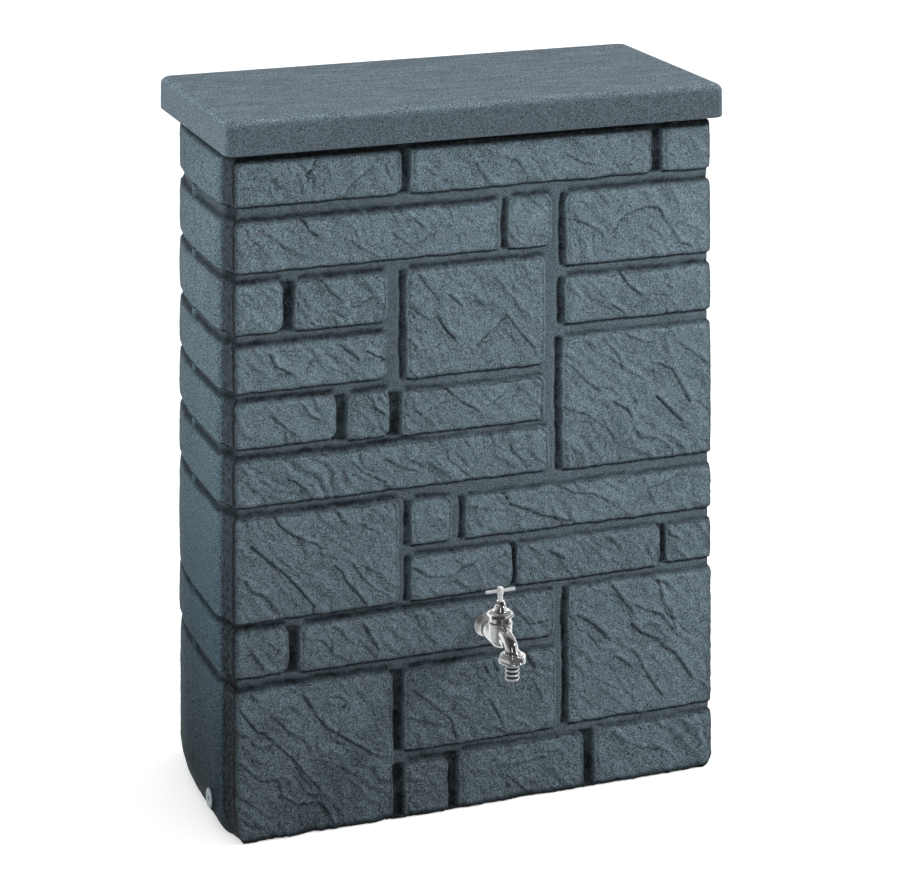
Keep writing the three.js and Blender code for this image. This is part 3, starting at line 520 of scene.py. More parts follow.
    def wall(z):
        q = inner.copy()
        q[:, 2] = z
        q[:, 0] = np.clip(q[:, 0], 14 - foot_limit(z, 18, 60), foot_limit(z, 18, 25) - 14)
        return q

    extra = [toward(0.06, RIM_Z), toward(0.5, RIM_Z), toward(0.96, RIM_Z), toward(1.0, RIM_Z - 1.2),
             rect_ring(lo, hi, 30, RIM_Z - 5.6), rect_ring(lo - 1.2, hi + 1.2, 31, RIM_Z - 6.7)]
    for z in (RIM_Z - 7.2, RIM_Z - 30, 900, 700, 500, 300, 150, 80, 50, 36, 26, 18, 12):
        extra.append(wall(z))
    extra.append(np.c_[inner[:, :2] * 0.93, np.full(n, 7.0)])
    for e in extra:
        rings.append(e)
        attr_soil_shade.append(np.full(n, 0.15))
        attr_t.append(np.zeros(n))
        attr_r.append(np.zeros(n))
    total_rings = nz + len(extra)
    i = np.arange(n)
    j = (i + 1) % n
    quads = np.concatenate([np.stack([r * n + i, r * n + j, (r + 1) * n + j, (r + 1) * n + i], -1) for r in range(total_rings - 1)])
    # underside: a set-back ring, then a flat base
    base = np.c_[PX[0] * 0.985, PY[0] * 0.97, np.zeros(n)]
    rings.append(base)
    attr_soil_shade.append(np.full(n, 0.4))
    attr_t.append(np.zeros(n))
    attr_r.append(np.zeros(n))
    b = total_rings * n
    quads = np.concatenate([quads, np.stack([b + i, b + j, j, i], -1)])
    ngons = [list(range(b + n - 1, b - 1, -1)), list(range((total_rings - 1) * n, total_rings * n))]
    ob = mesh_from("tank_skin", np.vstack(rings) * MM, quads, ngons)
    attribute(ob, "soil_and_shade_mask", np.concatenate(attr_soil_shade))
    attribute(ob, "tint", np.concatenate(attr_t))
    attribute(ob, "relief", np.concatenate(attr_r))
    outward(ob)
    return ob


# ---------------------------------------------------------------- lid
def build_lid():
    hx, hy = L1[0], L1[1]
    z0, top = 1010.0, L1[2]
    nx, ny = ((230, 120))

    def ring(inset, r, z, n=None):
        """Rounded rectangle at one height, always the same number of points."""
        px = []
        x, y = hx - inset, hy - inset
        r = max(0.5, r)
        for cx, cy, a0 in ((x - r, -y + r, -90), (x - r, y - r, 0), (-x + r, y - r, 90), (-x + r, -y + r, 180)):
            for k in range(13):
                a = math.radians(a0 + 90 * k / 12)
                px.append((cx + r * math.cos(a), cy + r * math.sin(a)))
            m = nx if a0 in (0, 180) else ny
            # straight run to the next corner is filled below
            px.append(("run", m))
        pts = []
        for idx, q in enumerate(px):
            if q[0] == "run":
                a, b = px[idx - 1], px[(idx + 1) % len(px)]
                for k in range(1, q[1]):
                    t = k / q[1]
                    pts.append((a[0] * (1 - t) + b[0] * t, a[1] * (1 - t) + b[1] * t))
            else:
                pts.append(q)
        return np.array([(x, y, z) for x, y in pts])

    prof = []                                           # inset, corner radius, z
    for inset, z in ((3.0, z0), (1.5, z0 + 0.5), (0.6, z0 + 1.4), (0.15, z0 + 2.5)):
        prof.append((inset, 14, z))
    for z in np.linspace(z0 + 4, top - 12, 17):
        prof.append((0, 14, z))
    for k in range(1, 9):
        a = math.radians(90 * k / 8)
        prof.append((11.5 * (1 - math.cos(a)), 14 - 3.5 * (1 - math.cos(a)), top - 11.5 + 11.5 * math.sin(a)))
    for k in (13, 17, 24, 34, 48, 66, 88, 112, 136, 158, 176):
        prof.append((k, max(2, 12 - k * 0.12), top))
    rings = [ring(*p) for p in prof]
    n = len(rings[0])
    outer = len(rings)
    # underside: bearing strip, hollow and the locating skirt
    under = [(3.5, 11, z0), (6.0, 9, z0 + 1.5), (6.0, 9, top - 14), (14, 8, top - 6.5), (26.5, 8, top - 6.5), (28, 10, top - 8), (28, 10, z0 + 0.6), (28.6, 10, z0),
             (32.4, 10, z0), (33, 10, z0 + 0.6), (33, 10, top - 8), (35, 10, top - 6.5)]

    def rect(x, y0, y1, r, z):
        base = ring(0, 14, z)
        q = base[:, :2] / [hx, hy]
        out = np.empty_like(base)
        sx, cy, sy = x, (y0 + y1) / 2, (y1 - y0) / 2
        p = q * [sx, sy]
        core = np.clip(p, [-sx + r, -sy + r], [sx - r, sy - r])
        d = p - core
        l = np.hypot(d[:, 0], d[:, 1])
        p = core + d / np.maximum(l, 1e-9)[:, None] * np.minimum(l, r)[:, None]
        out[:, 0], out[:, 1], out[:, 2] = p[:, 0], p[:, 1] + cy, z
        return out

    for i, r, z in under:
        rings.append(ring(i, r, z))
    for x, y0, y1, r, z in ((345.5, -120.5, 130.5, 12, top - 6.5), (346, -121, 131, 12, z0 - 2), (346, -121, 131, 12, z0 - 20), (345, -120, 130, 12, z0 - 22),
                            (342, -117, 127, 10, z0 - 22), (341, -116, 126, 10, z0 - 20), (341, -116, 126, 10, top - 8), (339, -114, 124, 10, top - 6.5)):
        rings.append(rect(x, y0, y1, r, z))
    V = np.vstack(rings)
    i = np.arange(n)
    j = (i + 1) % n
    quads = []
    for r in range(outer - 1):
        quads.append(np.stack([r * n + i, r * n + j, (r + 1) * n + j, (r + 1) * n + i], -1))
    quads.append(np.stack([outer * n + i, outer * n + j, j, i], -1))
    for r in range(outer, len(rings) - 1):
        quads.append(np.stack([(r + 1) * n + i, (r + 1) * n + j, r * n + j, r * n + i], -1))
    ngons = [list(range((outer - 1) * n, outer * n)), list(range(len(rings) * n - 1, (len(rings) - 1) * n - 1, -1))]
    # gentle moulded waviness on the outside only
    m = slice(0, outer * n)
    P = V[m]
    wave = 0.45 * fbm(P[:, 0] / 70, (P[:, 1] + P[:, 2]) / 60, 301, 3) + 0.12 * fbm(P[:, 0] / 9, (P[:, 1] + P[:, 2]) / 9, 311, 2)
    side = (P[:, 2] < top - 8) & (P[:, 2] > z0 + 1)
    dx = np.where(np.abs(P[:, 0]) > hx - 3, np.sign(P[:, 0]), 0) * side
    dy = np.where(np.abs(P[:, 1]) > hy - 3, np.sign(P[:, 1]), 0) * side
    wave = np.minimum(wave, 0.5)
    V[m, 0] += dx * wave
    V[m, 1] += dy * wave
    V[m, 2] += np.where(P[:, 2] > top - 0.5, wave - 0.5, 0) * 0.8
    ob = mesh_from("lid_slab", V * MM, np.concatenate(quads), ngons)
    attribute(ob, "soil_and_shade_mask", np.zeros(len(V)))
    attribute(ob, "tint", np.zeros(len(V)))
    # the lid's relief value marks the rounded top edge, painted lighter: a painted highlight with some wear
    edge = np.exp(-((V[:, 2] - (top - 3.5)) / 3.2) ** 2) * (np.maximum(np.abs(V[:, 0]) - hx, np.abs(V[:, 1]) - hy) > -13)
    edge[outer * n:] = 0
    attribute(ob, "relief", edge)
    outward(ob)
    sharpen(ob, 42)
    return ob


# ---------------------------------------------------------------- tap pieces
SPINDLE = [(a + b) / 2 for a, b in zip(*mmbox("spindle"))]
TX, TY = SPINDLE[0], SPINDLE[1]
NOZ = [(a + b) / 2 for a, b in zip(*mmbox("hose_nozzle"))]
OX, OY = NOZ[0], NOZ[1]
OUT_SEG = 72


def turned(name, profile, cx, cy, seg=OUT_SEG, rnd=0.5, axis="z", along=0.0):
    """Closed r, h profile turned about an axis, with every profile corner eased."""
    pts = ease(profile, rnd)
    V, Q = [], []
    poles = []
    rows = []
    for r, h in pts:
        if r < 1e-6:
            rows.append(("p", len(V)))
            V.append((0, 0, h))
        else:
            rows.append(("r", len(V)))
            for k in range(seg):
                a = 2 * math.pi * k / seg
                V.append((r * math.cos(a), r * math.sin(a), h))
    bm = bmesh.new()
    vs = [bm.verts.new(v) for v in V]
    m = len(rows)
    for a in range(m):
        b = (a + 1) % m
        (ta, ia), (tb, ib) = rows[a], rows[b]
        if ta == "p" and tb == "p":
            continue
        for k in range(seg):
            l = (k + 1) % seg
            if ta == "r" and tb == "r":
                bm.faces.new((vs[ia + k], vs[ia + l], vs[ib + l], vs[ib + k]))
            elif ta == "p":
                bm.faces.new((vs[ia], vs[ib + l], vs[ib + k]))
            else:
                bm.faces.new((vs[ia + k], vs[ia + l], vs[ib]))
    return finish(bm, name, cx, cy, axis, along)


def ease(profile, rnd):
    """Round each corner of a closed profile that is not on the axis."""
    out, m = [], len(profile)
    for i, (r, h) in enumerate(profile):
        a, b = profile[i - 1], profile[(i + 1) % m]
        if r < 1e-6 or rnd <= 0:
            out.append((r, h))
            continue
        va, vb = (a[0] - r, a[1] - h), (b[0] - r, b[1] - h)
        la, lb = math.hypot(*va), math.hypot(*vb)
        if la < 1e-6 or lb < 1e-6:
            out.append((r, h))
            continue
        t = min(rnd, la * 0.42, lb * 0.42)
        p0 = (r + va[0] / la * t, h + va[1] / la * t)
        p1 = (r + vb[0] / lb * t, h + vb[1] / lb * t)
        for k in range(4):
            u = k / 3
            out.append(tuple((1 - u) ** 2 * p0[c] + 2 * u * (1 - u) * (r, h)[c] + u * u * p1[c] for c in (0, 1)))
    return out


def finish(bm, name, cx, cy, axis="z", along=0.0):
    if axis == "y":                                     # h runs forwards from the wall
        bmesh.ops.transform(bm, matrix=Matrix(((1, 0, 0, cx), (0, 0, -1, along), (0, 1, 0, cy), (0, 0, 0, 1))), verts=bm.verts)
    elif axis == "x":                                   # h runs outwards from the left end
        bmesh.ops.transform(bm, matrix=Matrix(((0, 0, -1, along), (1, 0, 0, cx), (0, 1, 0, cy), (0, 0, 0, 1))), verts=bm.verts)
    else:
        bmesh.ops.translate(bm, vec=(cx, cy, along), verts=bm.verts)
    bmesh.ops.scale(bm, vec=(MM, MM, MM), verts=bm.verts)
    bmesh.ops.recalc_face_normals(bm, faces=bm.faces)
    if bm.calc_volume(signed=True) < 0:
        bmesh.ops.reverse_faces(bm, faces=bm.faces)
    me = bpy.data.meshes.new(name)
    for e in bm.edges:
        e.smooth = len(e.link_faces) == 2 and e.calc_face_angle(3) < math.radians(36)
    for f in bm.faces:
        f.smooth = True
    bm.to_mesh(me)
    bm.free()
    ob = bpy.data.objects.new(name, me)
    bpy.context.scene.collection.objects.link(ob)
    return ob


def boolean(ob, other, op="UNION"):
    """Exact boolean, applied at once."""
    mod = ob.modifiers.new("b", "BOOLEAN")
    mod.operation, mod.object, mod.solver = op, other, "EXACT"
    dg = bpy.context.evaluated_depsgraph_get()
    me = bpy.data.meshes.new_from_object(ob.evaluated_get(dg))
    ob.modifiers.clear()
    ob.data = me
    bpy.data.objects.remove(other)
    return ob


def swept(name, r, pts, seg=48, steps=44):
    """Round bar along a smooth curve of mm points in the Y/Z plane at x = TX."""
    P = np.array(pts, float)
    d = np.r_[0, np.cumsum(np.sqrt(np.hypot(*np.diff(P, axis=0).T)))]
    t = np.linspace(0, d[-1], steps + 1)
    # centripetal Catmull-Rom
    ext = np.vstack([2 * P[0] - P[1], P, 2 * P[-1] - P[-2]])
    kn = np.r_[d[0] - (d[1] - d[0]), d, d[-1] + (d[-1] - d[-2])]
    out = []
    for q in t:
        i = min(int(np.searchsorted(d, q, side="right")), len(d) - 1)
        t0, t1, t2, t3 = kn[i - 1], kn[i], kn[i + 1], kn[i + 2]
        a, b, c, e = ext[i - 1], ext[i], ext[i + 1], ext[i + 2]
        A1 = (t1 - q) / (t1 - t0) * a + (q - t0) / (t1 - t0) * b
        A2 = (t2 - q) / (t2 - t1) * b + (q - t1) / (t2 - t1) * c
        A3 = (t3 - q) / (t3 - t2) * c + (q - t2) / (t3 - t2) * e
        B1 = (t2 - q) / (t2 - t0) * A1 + (q - t0) / (t2 - t0) * A2
        B2 = (t3 - q) / (t3 - t1) * A2 + (q - t1) / (t3 - t1) * A3
        out.append((t2 - q) / (t2 - t1) * B1 + (q - t1) / (t2 - t1) * B2)
    out = np.array(out)
    tan = np.gradient(out, axis=0)
    tan /= np.hypot(tan[:, 0], tan[:, 1])[:, None]
    bm = bmesh.new()
    rings = []
    for (y, z), (ty, tz) in zip(out, tan):
        rad = r(0) if callable(r) else r
        row = []
        for k in range(seg):
            a = 2 * math.pi * k / seg
            row.append(bm.verts.new((TX + rad * math.cos(a), y - tz * rad * math.sin(a), z + ty * rad * math.sin(a))))
        rings.append(row)
    for p, q in zip(rings, rings[1:]):
        for k in range(seg):
            l = (k + 1) % seg
            bm.faces.new((p[k], p[l], q[l], q[k]))
    bm.faces.new(list(reversed(rings[0])))
    bm.faces.new(rings[-1])
    return finish(bm, name, 0, 0)


def hexprism(name, af, cx, cy, z0, z1, bevel=0.6, turn=0.0, crown=0.0):
    """Hexagon bar with eased arrises; crown is not used."""
    bm = bmesh.new()
    r = af / math.sqrt(3)
    lo = [bm.verts.new((r * math.cos(turn + i * math.pi / 3), r * math.sin(turn + i * math.pi / 3), z0)) for i in range(6)]
    hi = [bm.verts.new((r * math.cos(turn + i * math.pi / 3), r * math.sin(turn + i * math.pi / 3), z1)) for i in range(6)]
    bm.faces.new(list(reversed(lo)))
    bm.faces.new(hi)
    for i in range(6):
        bm.faces.new((lo[i], lo[(i + 1) % 6], hi[(i + 1) % 6], hi[i]))
    bmesh.ops.bevel(bm, geom=list(bm.edges), offset=bevel, segments=3, profile=0.5, affect="EDGES")
    return finish(bm, name, cx, cy)


def box_mm(name, x0, x1, y0, y1, z0, z1):
    bm = bmesh.new()
    bmesh.ops.create_cube(bm, size=1)
    bmesh.ops.scale(bm, vec=(x1 - x0, y1 - y0, z1 - z0), verts=bm.verts)
    bmesh.ops.translate(bm, vec=((x0 + x1) / 2, (y0 + y1) / 2, (z0 + z1) / 2), verts=bm.verts)
    return finish(bm, name, 0, 0)


def shade(ob, degrees=36):
    sharpen(ob, degrees)
    return ob


INLET_Z = ROSE[1]
BAR_Z = sum(mmbox("handle_bar")[i][2] for i in (0, 1)) / 2
BAR_H = (mmbox("handle_bar")[1][0] - mmbox("handle_bar")[0][0]) / 2
BODY_TOP = mmbox("tap_body")[1][2]
COLLAR_Z = 264.9
SPOUT = [(TY + 2, 286.5), (TY - 14, 287), (TY - 30, 285.5), (OY + 4, 279.5), (OY, 271), (OY, COLLAR_Z)]


def build_tap():
    made = {}
    bulb = turned("tap_body_v", [(0, 262), (6, 262.8), (11, 265.4), (14.6, 269.6), (16.6, 275.4), (17.4, 282), (17.4, 294.6), (18.2, 296.5), (18.2, BODY_TOP), (0, BODY_TOP)], TX, TY, rnd=1.6)
    boolean(bulb, turned("inl", [(0, 0), (10.1, 0), (10.1, 36), (11.6, 40), (12.2, 50), (12.2, 66), (11.2, 72), (8.6, 77), (0, 80)], TX, INLET_Z, axis="y", along=FACE_Y + 17, rnd=1.8))
    boolean(bulb, swept("sp", 9.6, SPOUT))
    boolean(bulb, swept("web", 9.2, [(TY, 278), (TY - 10, 278), (TY - 20, 278.2), (OY + 17.6, 279)], steps=16))
    boolean(bulb, turned("col", [(0, COLLAR_Z), (13, COLLAR_Z), (13, 271.2), (11, 274.4), (0, 274.4)], OX, OY, rnd=0.7))
    boolean(bulb, turned("b1", [(0, -3), (5.6, -3), (5.6, 74), (0, 74)], TX, INLET_Z, axis="y", along=FACE_Y + 17, rnd=0), "DIFFERENCE")
    boolean(bulb, turned("b2", [(0, INLET_Z), (5, INLET_Z), (5, 284), (0, 284)], TX, TY, rnd=0), "DIFFERENCE")
    boolean(bulb, turned("b3", [(0, 283), (12, 283), (12, BODY_TOP + 2), (0, BODY_TOP + 2)], TX, TY, rnd=0), "DIFFERENCE")
    boolean(bulb, swept("b4", 5.4, [(TY - 8, 289), (TY - 14, 288.6), (TY - 30, 285.8), (OY + 4, 279.5), (OY, 271), (OY, 260)]), "DIFFERENCE")
    made["tap_body"] = shade(bulb, 30)

    made["tap_rosette"] = turned("tap_rosette_v", [(14.4, 0.3), (16.7, 0.3), (16.8, 2.2), (16.2, 3.8), (15.2, 6.4), (14.4, 9), (13.8, 11.2), (13.4, 13), (13.1, 15.2), (13, 17), (12.2, 18.5), (10.5, 18.5), (10.5, 3.4), (14.4, 3.4)],
                                 TX, INLET_Z, axis="y", along=FACE_Y, rnd=0.9)

    bon = turned("bonnet_v", [(11.7, 294.6), (11.7, 300.8), (16.2, 300.8), (16.2, 308.5), (17.4, 309), (17.4, 312.8), (16, 314), (12, 315), (11, 315.9), (10.4, 317), (9.8, 318.6), (9.2, 320.4), (8.7, 322.2), (8.3, 324),
                              (6.5, 324), (6.5, 318.4), (5.3, 318.4), (5.3, 294.6)], TX, TY, rnd=0.8)
    hexf = hexprism("bonhex", 36, TX, TY, 308, 313.4, 0.9, math.pi / 6)
    boolean(hexf, turned("bh", [(0, 300), (12, 300), (12, 320), (0, 320)], TX, TY, rnd=0), "DIFFERENCE")
    boolean(bon, hexf)
    made["bonnet"] = shade(bon, 30)

    sp = turned("spindle_v", [(0, 288.9), (4.4, 288.9), (5, 289.5), (5, 311.8), (4.6, 312.4), (3.8, 312.4), (3.8, 339.8), (4.7, 341), (4.7, 349.6), (3.6, 351), (0, 351)], TX, TY, rnd=0.5)
    boolean(sp, turned("s1", [(0, 285), (2.8, 285), (2.8, 300.5), (0, 300.5)], TX, TY, rnd=0), "DIFFERENCE")
    boolean(sp, turned("s2", [(0, -20), (2.8, -20), (2.8, 20), (0, 20)], TY, BAR_Z, axis="x", along=TX, rnd=0, seg=40), "DIFFERENCE")
    made["spindle"] = shade(sp, 30)

    h = BAR_H
    made["handle_bar"] = turned("handle_bar_v", [(0, -h), (1.2, -h), (2.1, -h + 0.5), (2.5, -h + 1.3), (2.5, -h + 3.6), (2.35, -h + 4.2), (2.35, h - 4.2), (2.5, h - 3.6), (2.5, h - 1.3), (2.1, h - 0.5), (1.2, h), (0, h)],
                                TY, BAR_Z, axis="x", along=TX, rnd=0.45, seg=40)

    gn = turned("gland_nut_v", [(4.1, 321.9), (6.2, 321.9), (6.2, 325), (4.1, 325)], TX, TY, rnd=0.3)
    cone = turned("gc", [(4.1, 324.3), (8.2, 324.3), (7.7, 326.6), (6, 330.6), (4.1, 330.6)], TX, TY, seg=6, rnd=0.35)
    boolean(gn, cone)
    made["gland_nut"] = shade(gn, 24)

    cn = hexprism("coupling_nut_v", 37, OX, OY, 260.0, 267.6, 1.0, 0)
    boolean(cn, turned("cl", [(0, 258.2), (19.8, 258.2), (20.2, 258.6), (20.2, 260.4), (19.7, 260.9), (0, 260.9)], OX, OY, rnd=0.5))
    boolean(cn, turned("cc", [(0, 260.4), (16.4, 260.4), (16.4, 268.8), (15.6, 269.6), (0, 269.6)], OX, OY, rnd=0.5))
    # chamfer the points of the hexagon, then cut a groove above the lip
    boolean(cn, turned("ch", [(0, 254), (19.4, 256), (21.0, 258.6), (21.0, 265.6), (18.8, 267.8), (18.2, 270.5), (0, 270.5)], OX, OY, rnd=0.3), "INTERSECT")
    boolean(cn, turned("cg", [(18.0, 261.2), (24, 261.2), (24, 262.2), (18.0, 262.2)], OX, OY, rnd=0.2), "DIFFERENCE")
    boolean(cn, turned("k1", [(0, 260.4), (13.3, 260.4), (13.3, 280), (0, 280)], OX, OY, rnd=0), "DIFFERENCE")
    boolean(cn, turned("k2", [(0, 250), (9.9, 250), (9.9, 262), (0, 262)], OX, OY, rnd=0), "DIFFERENCE")
    made["coupling_nut"] = shade(cn, 30)

    made["hose_nozzle"] = turned("hose_nozzle_v", [(7, 231.4), (9.0, 231.4), (9.7, 232.2), (11.2, 234.8), (8.8, 235.4), (8.8, 237.6), (9.8, 239.4), (11.2, 241.4), (8.8, 242), (8.8, 244.2), (9.8, 246), (11.2, 248),
                                                  (8.8, 248.6), (8.8, 250.6), (9.6, 251.8), (10.4, 253), (9.5, 253.6), (9.5, 260.7), (12.9, 260.7), (12.9, 262.6), (7, 262.6)], OX, OY, rnd=0.32)

    px = -372
    plug = turned("side_plug_v", [(0, 4), (9.6, 4), (10, 4.6), (10, 28.8), (14, 28.8), (14, 30.4), (13.2, 31.4), (12.2, 31.6), (8.4, 31.6), (7.9, 31.1), (7.2, 31.0), (0, 31.0)], PLUG[0], PLUG[1], axis="x", along=px, rnd=0.4)
    boolean(plug, box_mm("pq", px - 40, px - 24, PLUG[0] - 3.9, PLUG[0] + 3.9, PLUG[1] - 3.9, PLUG[1] + 3.9), "DIFFERENCE")
    made["side_plug"] = shade(plug, 30)
    return made


# ---------------------------------------------------------------- materials
def lin(r, g, b):
    return tuple(((c / 255) / 12.92 if c / 255 <= 0.04045 else ((c / 255 + 0.055) / 1.055) ** 2.4) for c in (r, g, b)) + (1.0,)


class Mat:
    def __init__(self, name):
        self.m = bpy.data.materials.new(name)
        self.m.use_nodes = True
        self.t = self.m.node_tree
        self.t.nodes.clear()
        self.out = self.add("ShaderNodeOutputMaterial")
        self.b = self.add("ShaderNodeBsdfPrincipled")
        self.t.links.new(self.b.outputs[0], self.out.inputs[0])
        self.pos = self.add("ShaderNodeTexCoord").outputs["Object"]

    def add(self, kind, **kw):
        n = self.t.nodes.new(kind)
        for k, v in kw.items():
            setattr(n, k, v)
        return n

    def put(self, node, key, value):
        sock = node.inputs[key]
        if isinstance(value, bpy.types.NodeSocket):
            self.t.links.new(value, sock)
        else:
            sock.default_value = value

    def noise(self, scale, detail=2, rough=0.5, dist=0.0, pos=None):
        n = self.add("ShaderNodeTexNoise")
        self.put(n, "Vector", pos or self.pos)
        for k, v in (("Scale", scale), ("Detail", detail), ("Roughness", rough), ("Distortion", dist)):
            self.put(n, k, v)
        return n.outputs["Fac"]

    def voronoi(self, scale, pos=None):
        n = self.add("ShaderNodeTexVoronoi")
        self.put(n, "Vector", pos or self.pos)
        self.put(n, "Scale", scale)
        return n.outputs["Distance"]

    def math(self, op, a, b=0.0, clamp=False):
        n = self.add("ShaderNodeMath", operation=op, use_clamp=clamp)
        self.put(n, 0, a)
        self.put(n, 1, b)
        return n.outputs[0]

    def remap(self, v, a, b, c, d):
        n = self.add("ShaderNodeMapRange")
        for k, x in enumerate((v, a, b, c, d)):
            self.put(n, k, x)
        return n.outputs[0]

    def attr(self, name):
        return self.add("ShaderNodeAttribute", attribute_name=name).outputs["Fac"]

    def mix(self, f, a, b, mode="MIX"):
        n = self.add("ShaderNodeMix", data_type="RGBA", blend_type=mode)
        self.put(n, 0, f)
        self.put(n, 6, a)
        self.put(n, 7, b)
        return n.outputs[2]

    def grey(self, v):
        n = self.add("ShaderNodeCombineColor")
        for k in range(3):
            self.put(n, k, v)
        return n.outputs[0]

    def pointy(self):
        return self.add("ShaderNodeNewGeometry").outputs["Pointiness"]

    def height(self):
        n = self.add("ShaderNodeSeparateXYZ")
        self.put(n, 0, self.pos)
        return n.outputs

    def bump(self, h, strength, distance, normal=None):
        n = self.add("ShaderNodeBump")
        self.put(n, "Strength", strength)
        self.put(n, "Distance", distance)
        self.put(n, "Height", h)
        if normal is not None:
            self.put(n, "Normal", normal)
        return n.outputs[0]

    def bevel(self, radius):
        n = self.add("ShaderNodeBevel")
        n.samples = 4
        self.put(n, "Radius", radius)
        return n.outputs[0]

    def set(self, **kw):
        for k, v in kw.items():
            self.put(self.b, k.replace("_", " "), v)
        return self.m


def granite(name, base, dark, wear=1.0, field=True, grain=1.0):
    """Speckled moulded plastic: base colour, granite grains, soiling and painted shade in the joints, paler edges that
    are partly wear and partly painted highlight, and painted light and shade over the relief and faces.
    """
    m = Mat(name)
    x, y, z = m.height()[:3]
    broad = m.noise(5.5, 3, 0.6)
    mott = m.noise(55, 3, 0.6)
    fine = m.noise(500, 3, 0.7)
    micro = m.noise(1050, 2, 0.6)
    low = 1.0 if field else 0.35
    v = m.math("ADD", m.remap(broad, 0.3, 0.7, -0.08 * low, 0.08 * low), m.remap(mott, 0.3, 0.7, -0.10 * low, 0.10 * low))
    # grains read strongest on the flat stones, weakest in the smooth mortar
    nrm_xyz = m.add("ShaderNodeSeparateXYZ")
    m.put(nrm_xyz, 0, m.add("ShaderNodeNewGeometry").outputs["Normal"])
    if field:
        show = m.math("MULTIPLY", m.remap(m.attr("soil_and_shade_mask"), 0.2, 0.6, 1.0, 0.55), m.remap(x, -0.385, -0.4, 1.0, 1.5))
        show = m.math("MULTIPLY", show, m.remap(z, 0.0, 0.35, 1.35, 1.0))
    else:
        show = m.math("ADD", m.remap(nrm_xyz.outputs[2], 0.3, 0.8, 1.0, 1.8), m.remap(nrm_xyz.outputs[0], -0.9, -0.5, 0.9, 0.0))
    v = m.math("ADD", v, m.math("MULTIPLY", m.remap(fine, 0.3, 0.7, -0.95 * grain, 0.95 * grain), show))
    v = m.math("ADD", v, m.math("MULTIPLY", m.remap(micro, 0.3, 0.7, -0.6 * grain, 0.6 * grain), show))
    # a scatter of light and of nearly black grains
    pick = m.noise(240, 1, 0.5)
    light = m.math("MULTIPLY", m.remap(m.voronoi(400), 0.36, 0.14, 0.0, 1.0), m.remap(pick, 0.50, 0.62, 0.0, 1.0))
    black = m.math("MULTIPLY", m.remap(m.voronoi(340), 0.40, 0.16, 0.0, 1.0), m.remap(pick, 0.52, 0.38, 0.0, 1.0))
    v = m.math("ADD", v, m.math("MULTIPLY", light, 0.75))
    v = m.math("SUBTRACT", v, m.math("MULTIPLY", black, 0.6))
    pt = m.pointy()
    # paler convex edges, partly wear and partly painted highlight; darker hollows, painted shade
    v = m.math("ADD", v, m.remap(pt, 0.505, 0.57, 0.0, 0.30 * wear))
    v = m.math("SUBTRACT", v, m.remap(pt, 0.495, 0.43, 0.0, 0.34 * wear))
    if field:
        v = m.math("ADD", v, m.math("MULTIPLY", m.attr("tint"), 0.06))
        # painted light and shade from the relief
        v = m.math("ADD", v, m.math("MULTIPLY", m.attr("relief"), 0.105))
    else:
        # brushed-looking runs along the slab
        n = m.add("ShaderNodeMapping")
        m.put(n, "Vector", m.pos)
        n.inputs["Scale"].default_value = (1.0, 5.0, 5.0)
        v = m.math("ADD", v, m.math("MULTIPLY", m.remap(m.noise(14, 4, 0.65, 0.6, n.outputs[0]), 0.3, 0.7, -0.30, 0.30), m.remap(nrm_xyz.outputs[2], 0.3, 0.8, 0.12, 1.0)))
        # painted light: the slab is lighter towards its left end
        v = m.math("ADD", v, m.remap(x, -0.36, 0.12, 0.07, -0.05))
    v = m.math("MAXIMUM", m.math("ADD", v, 1.0), 0.16)
    if field:
        # painted shade: darker towards the ground, most on the left and on the left end wall
        side = m.remap(x, -0.385, -0.4, 0.0, 1.0)
        near = m.remap(x, -0.45, 0.42, 0.62, 0.22)
        fall = m.remap(z, 0.0, 0.8, 1.0, 0.0)
        v = m.math("MULTIPLY", v, m.math("SUBTRACT", 1.0, m.math("MULTIPLY", m.math("MULTIPLY", fall, m.remap(fall, 0.0, 1.0, 0.55, 1.0)), m.math("ADD", near, m.math("MULTIPLY", side, 0.34)))))
    else:
        geo = m.add("ShaderNodeNewGeometry")
        sx = m.add("ShaderNodeSeparateXYZ")
        m.put(sx, 0, geo.outputs["Normal"])
        # painted light and shade on the slab: the front face darker, the left end lighter, and the rounded top edge
        # lighter (painted highlight with some wear)
        v = m.math("MULTIPLY", v, m.remap(sx.outputs[1], -1.0, -0.25, 0.60, 1.0))
        v = m.math("MULTIPLY", v, m.remap(sx.outputs[0], -1.0, -0.3, 1.36, 1.0))
        v = m.math("MULTIPLY", v, m.math("ADD", 1.0, m.math("MULTIPLY", m.attr("relief"), m.remap(fine, 0.35, 0.65, 0.06, 0.5))))
    col = m.mix(1.0, base, m.grey(v), "MULTIPLY")
    # warm and cold grains
    hue = m.remap(m.noise(190, 3, 0.7), 0.36, 0.64, 0.0, 1.0)
    col = m.mix(hue, m.mix(1.0, col, (0.91, 1.0, 1.01, 1), "MULTIPLY"), m.mix(1.0, col, (1.09, 1.0, 1.0, 1), "MULTIPLY"))
    if field:
        # painted light: the left end wall is painted lighter near the top and bluer towards the ground
        col = m.mix(side, col, m.mix(fall, m.mix(1.0, col, (1.42, 1.46, 1.48, 1), "MULTIPLY"), m.mix(1.0, col, (0.90, 1.18, 1.28, 1), "MULTIPLY")))
    rough = m.remap(m.noise(210, 3, 0.6), 0.3, 0.7, 0.6, 0.86)
    if field:
        cav = m.attr("soil_and_shade_mask")
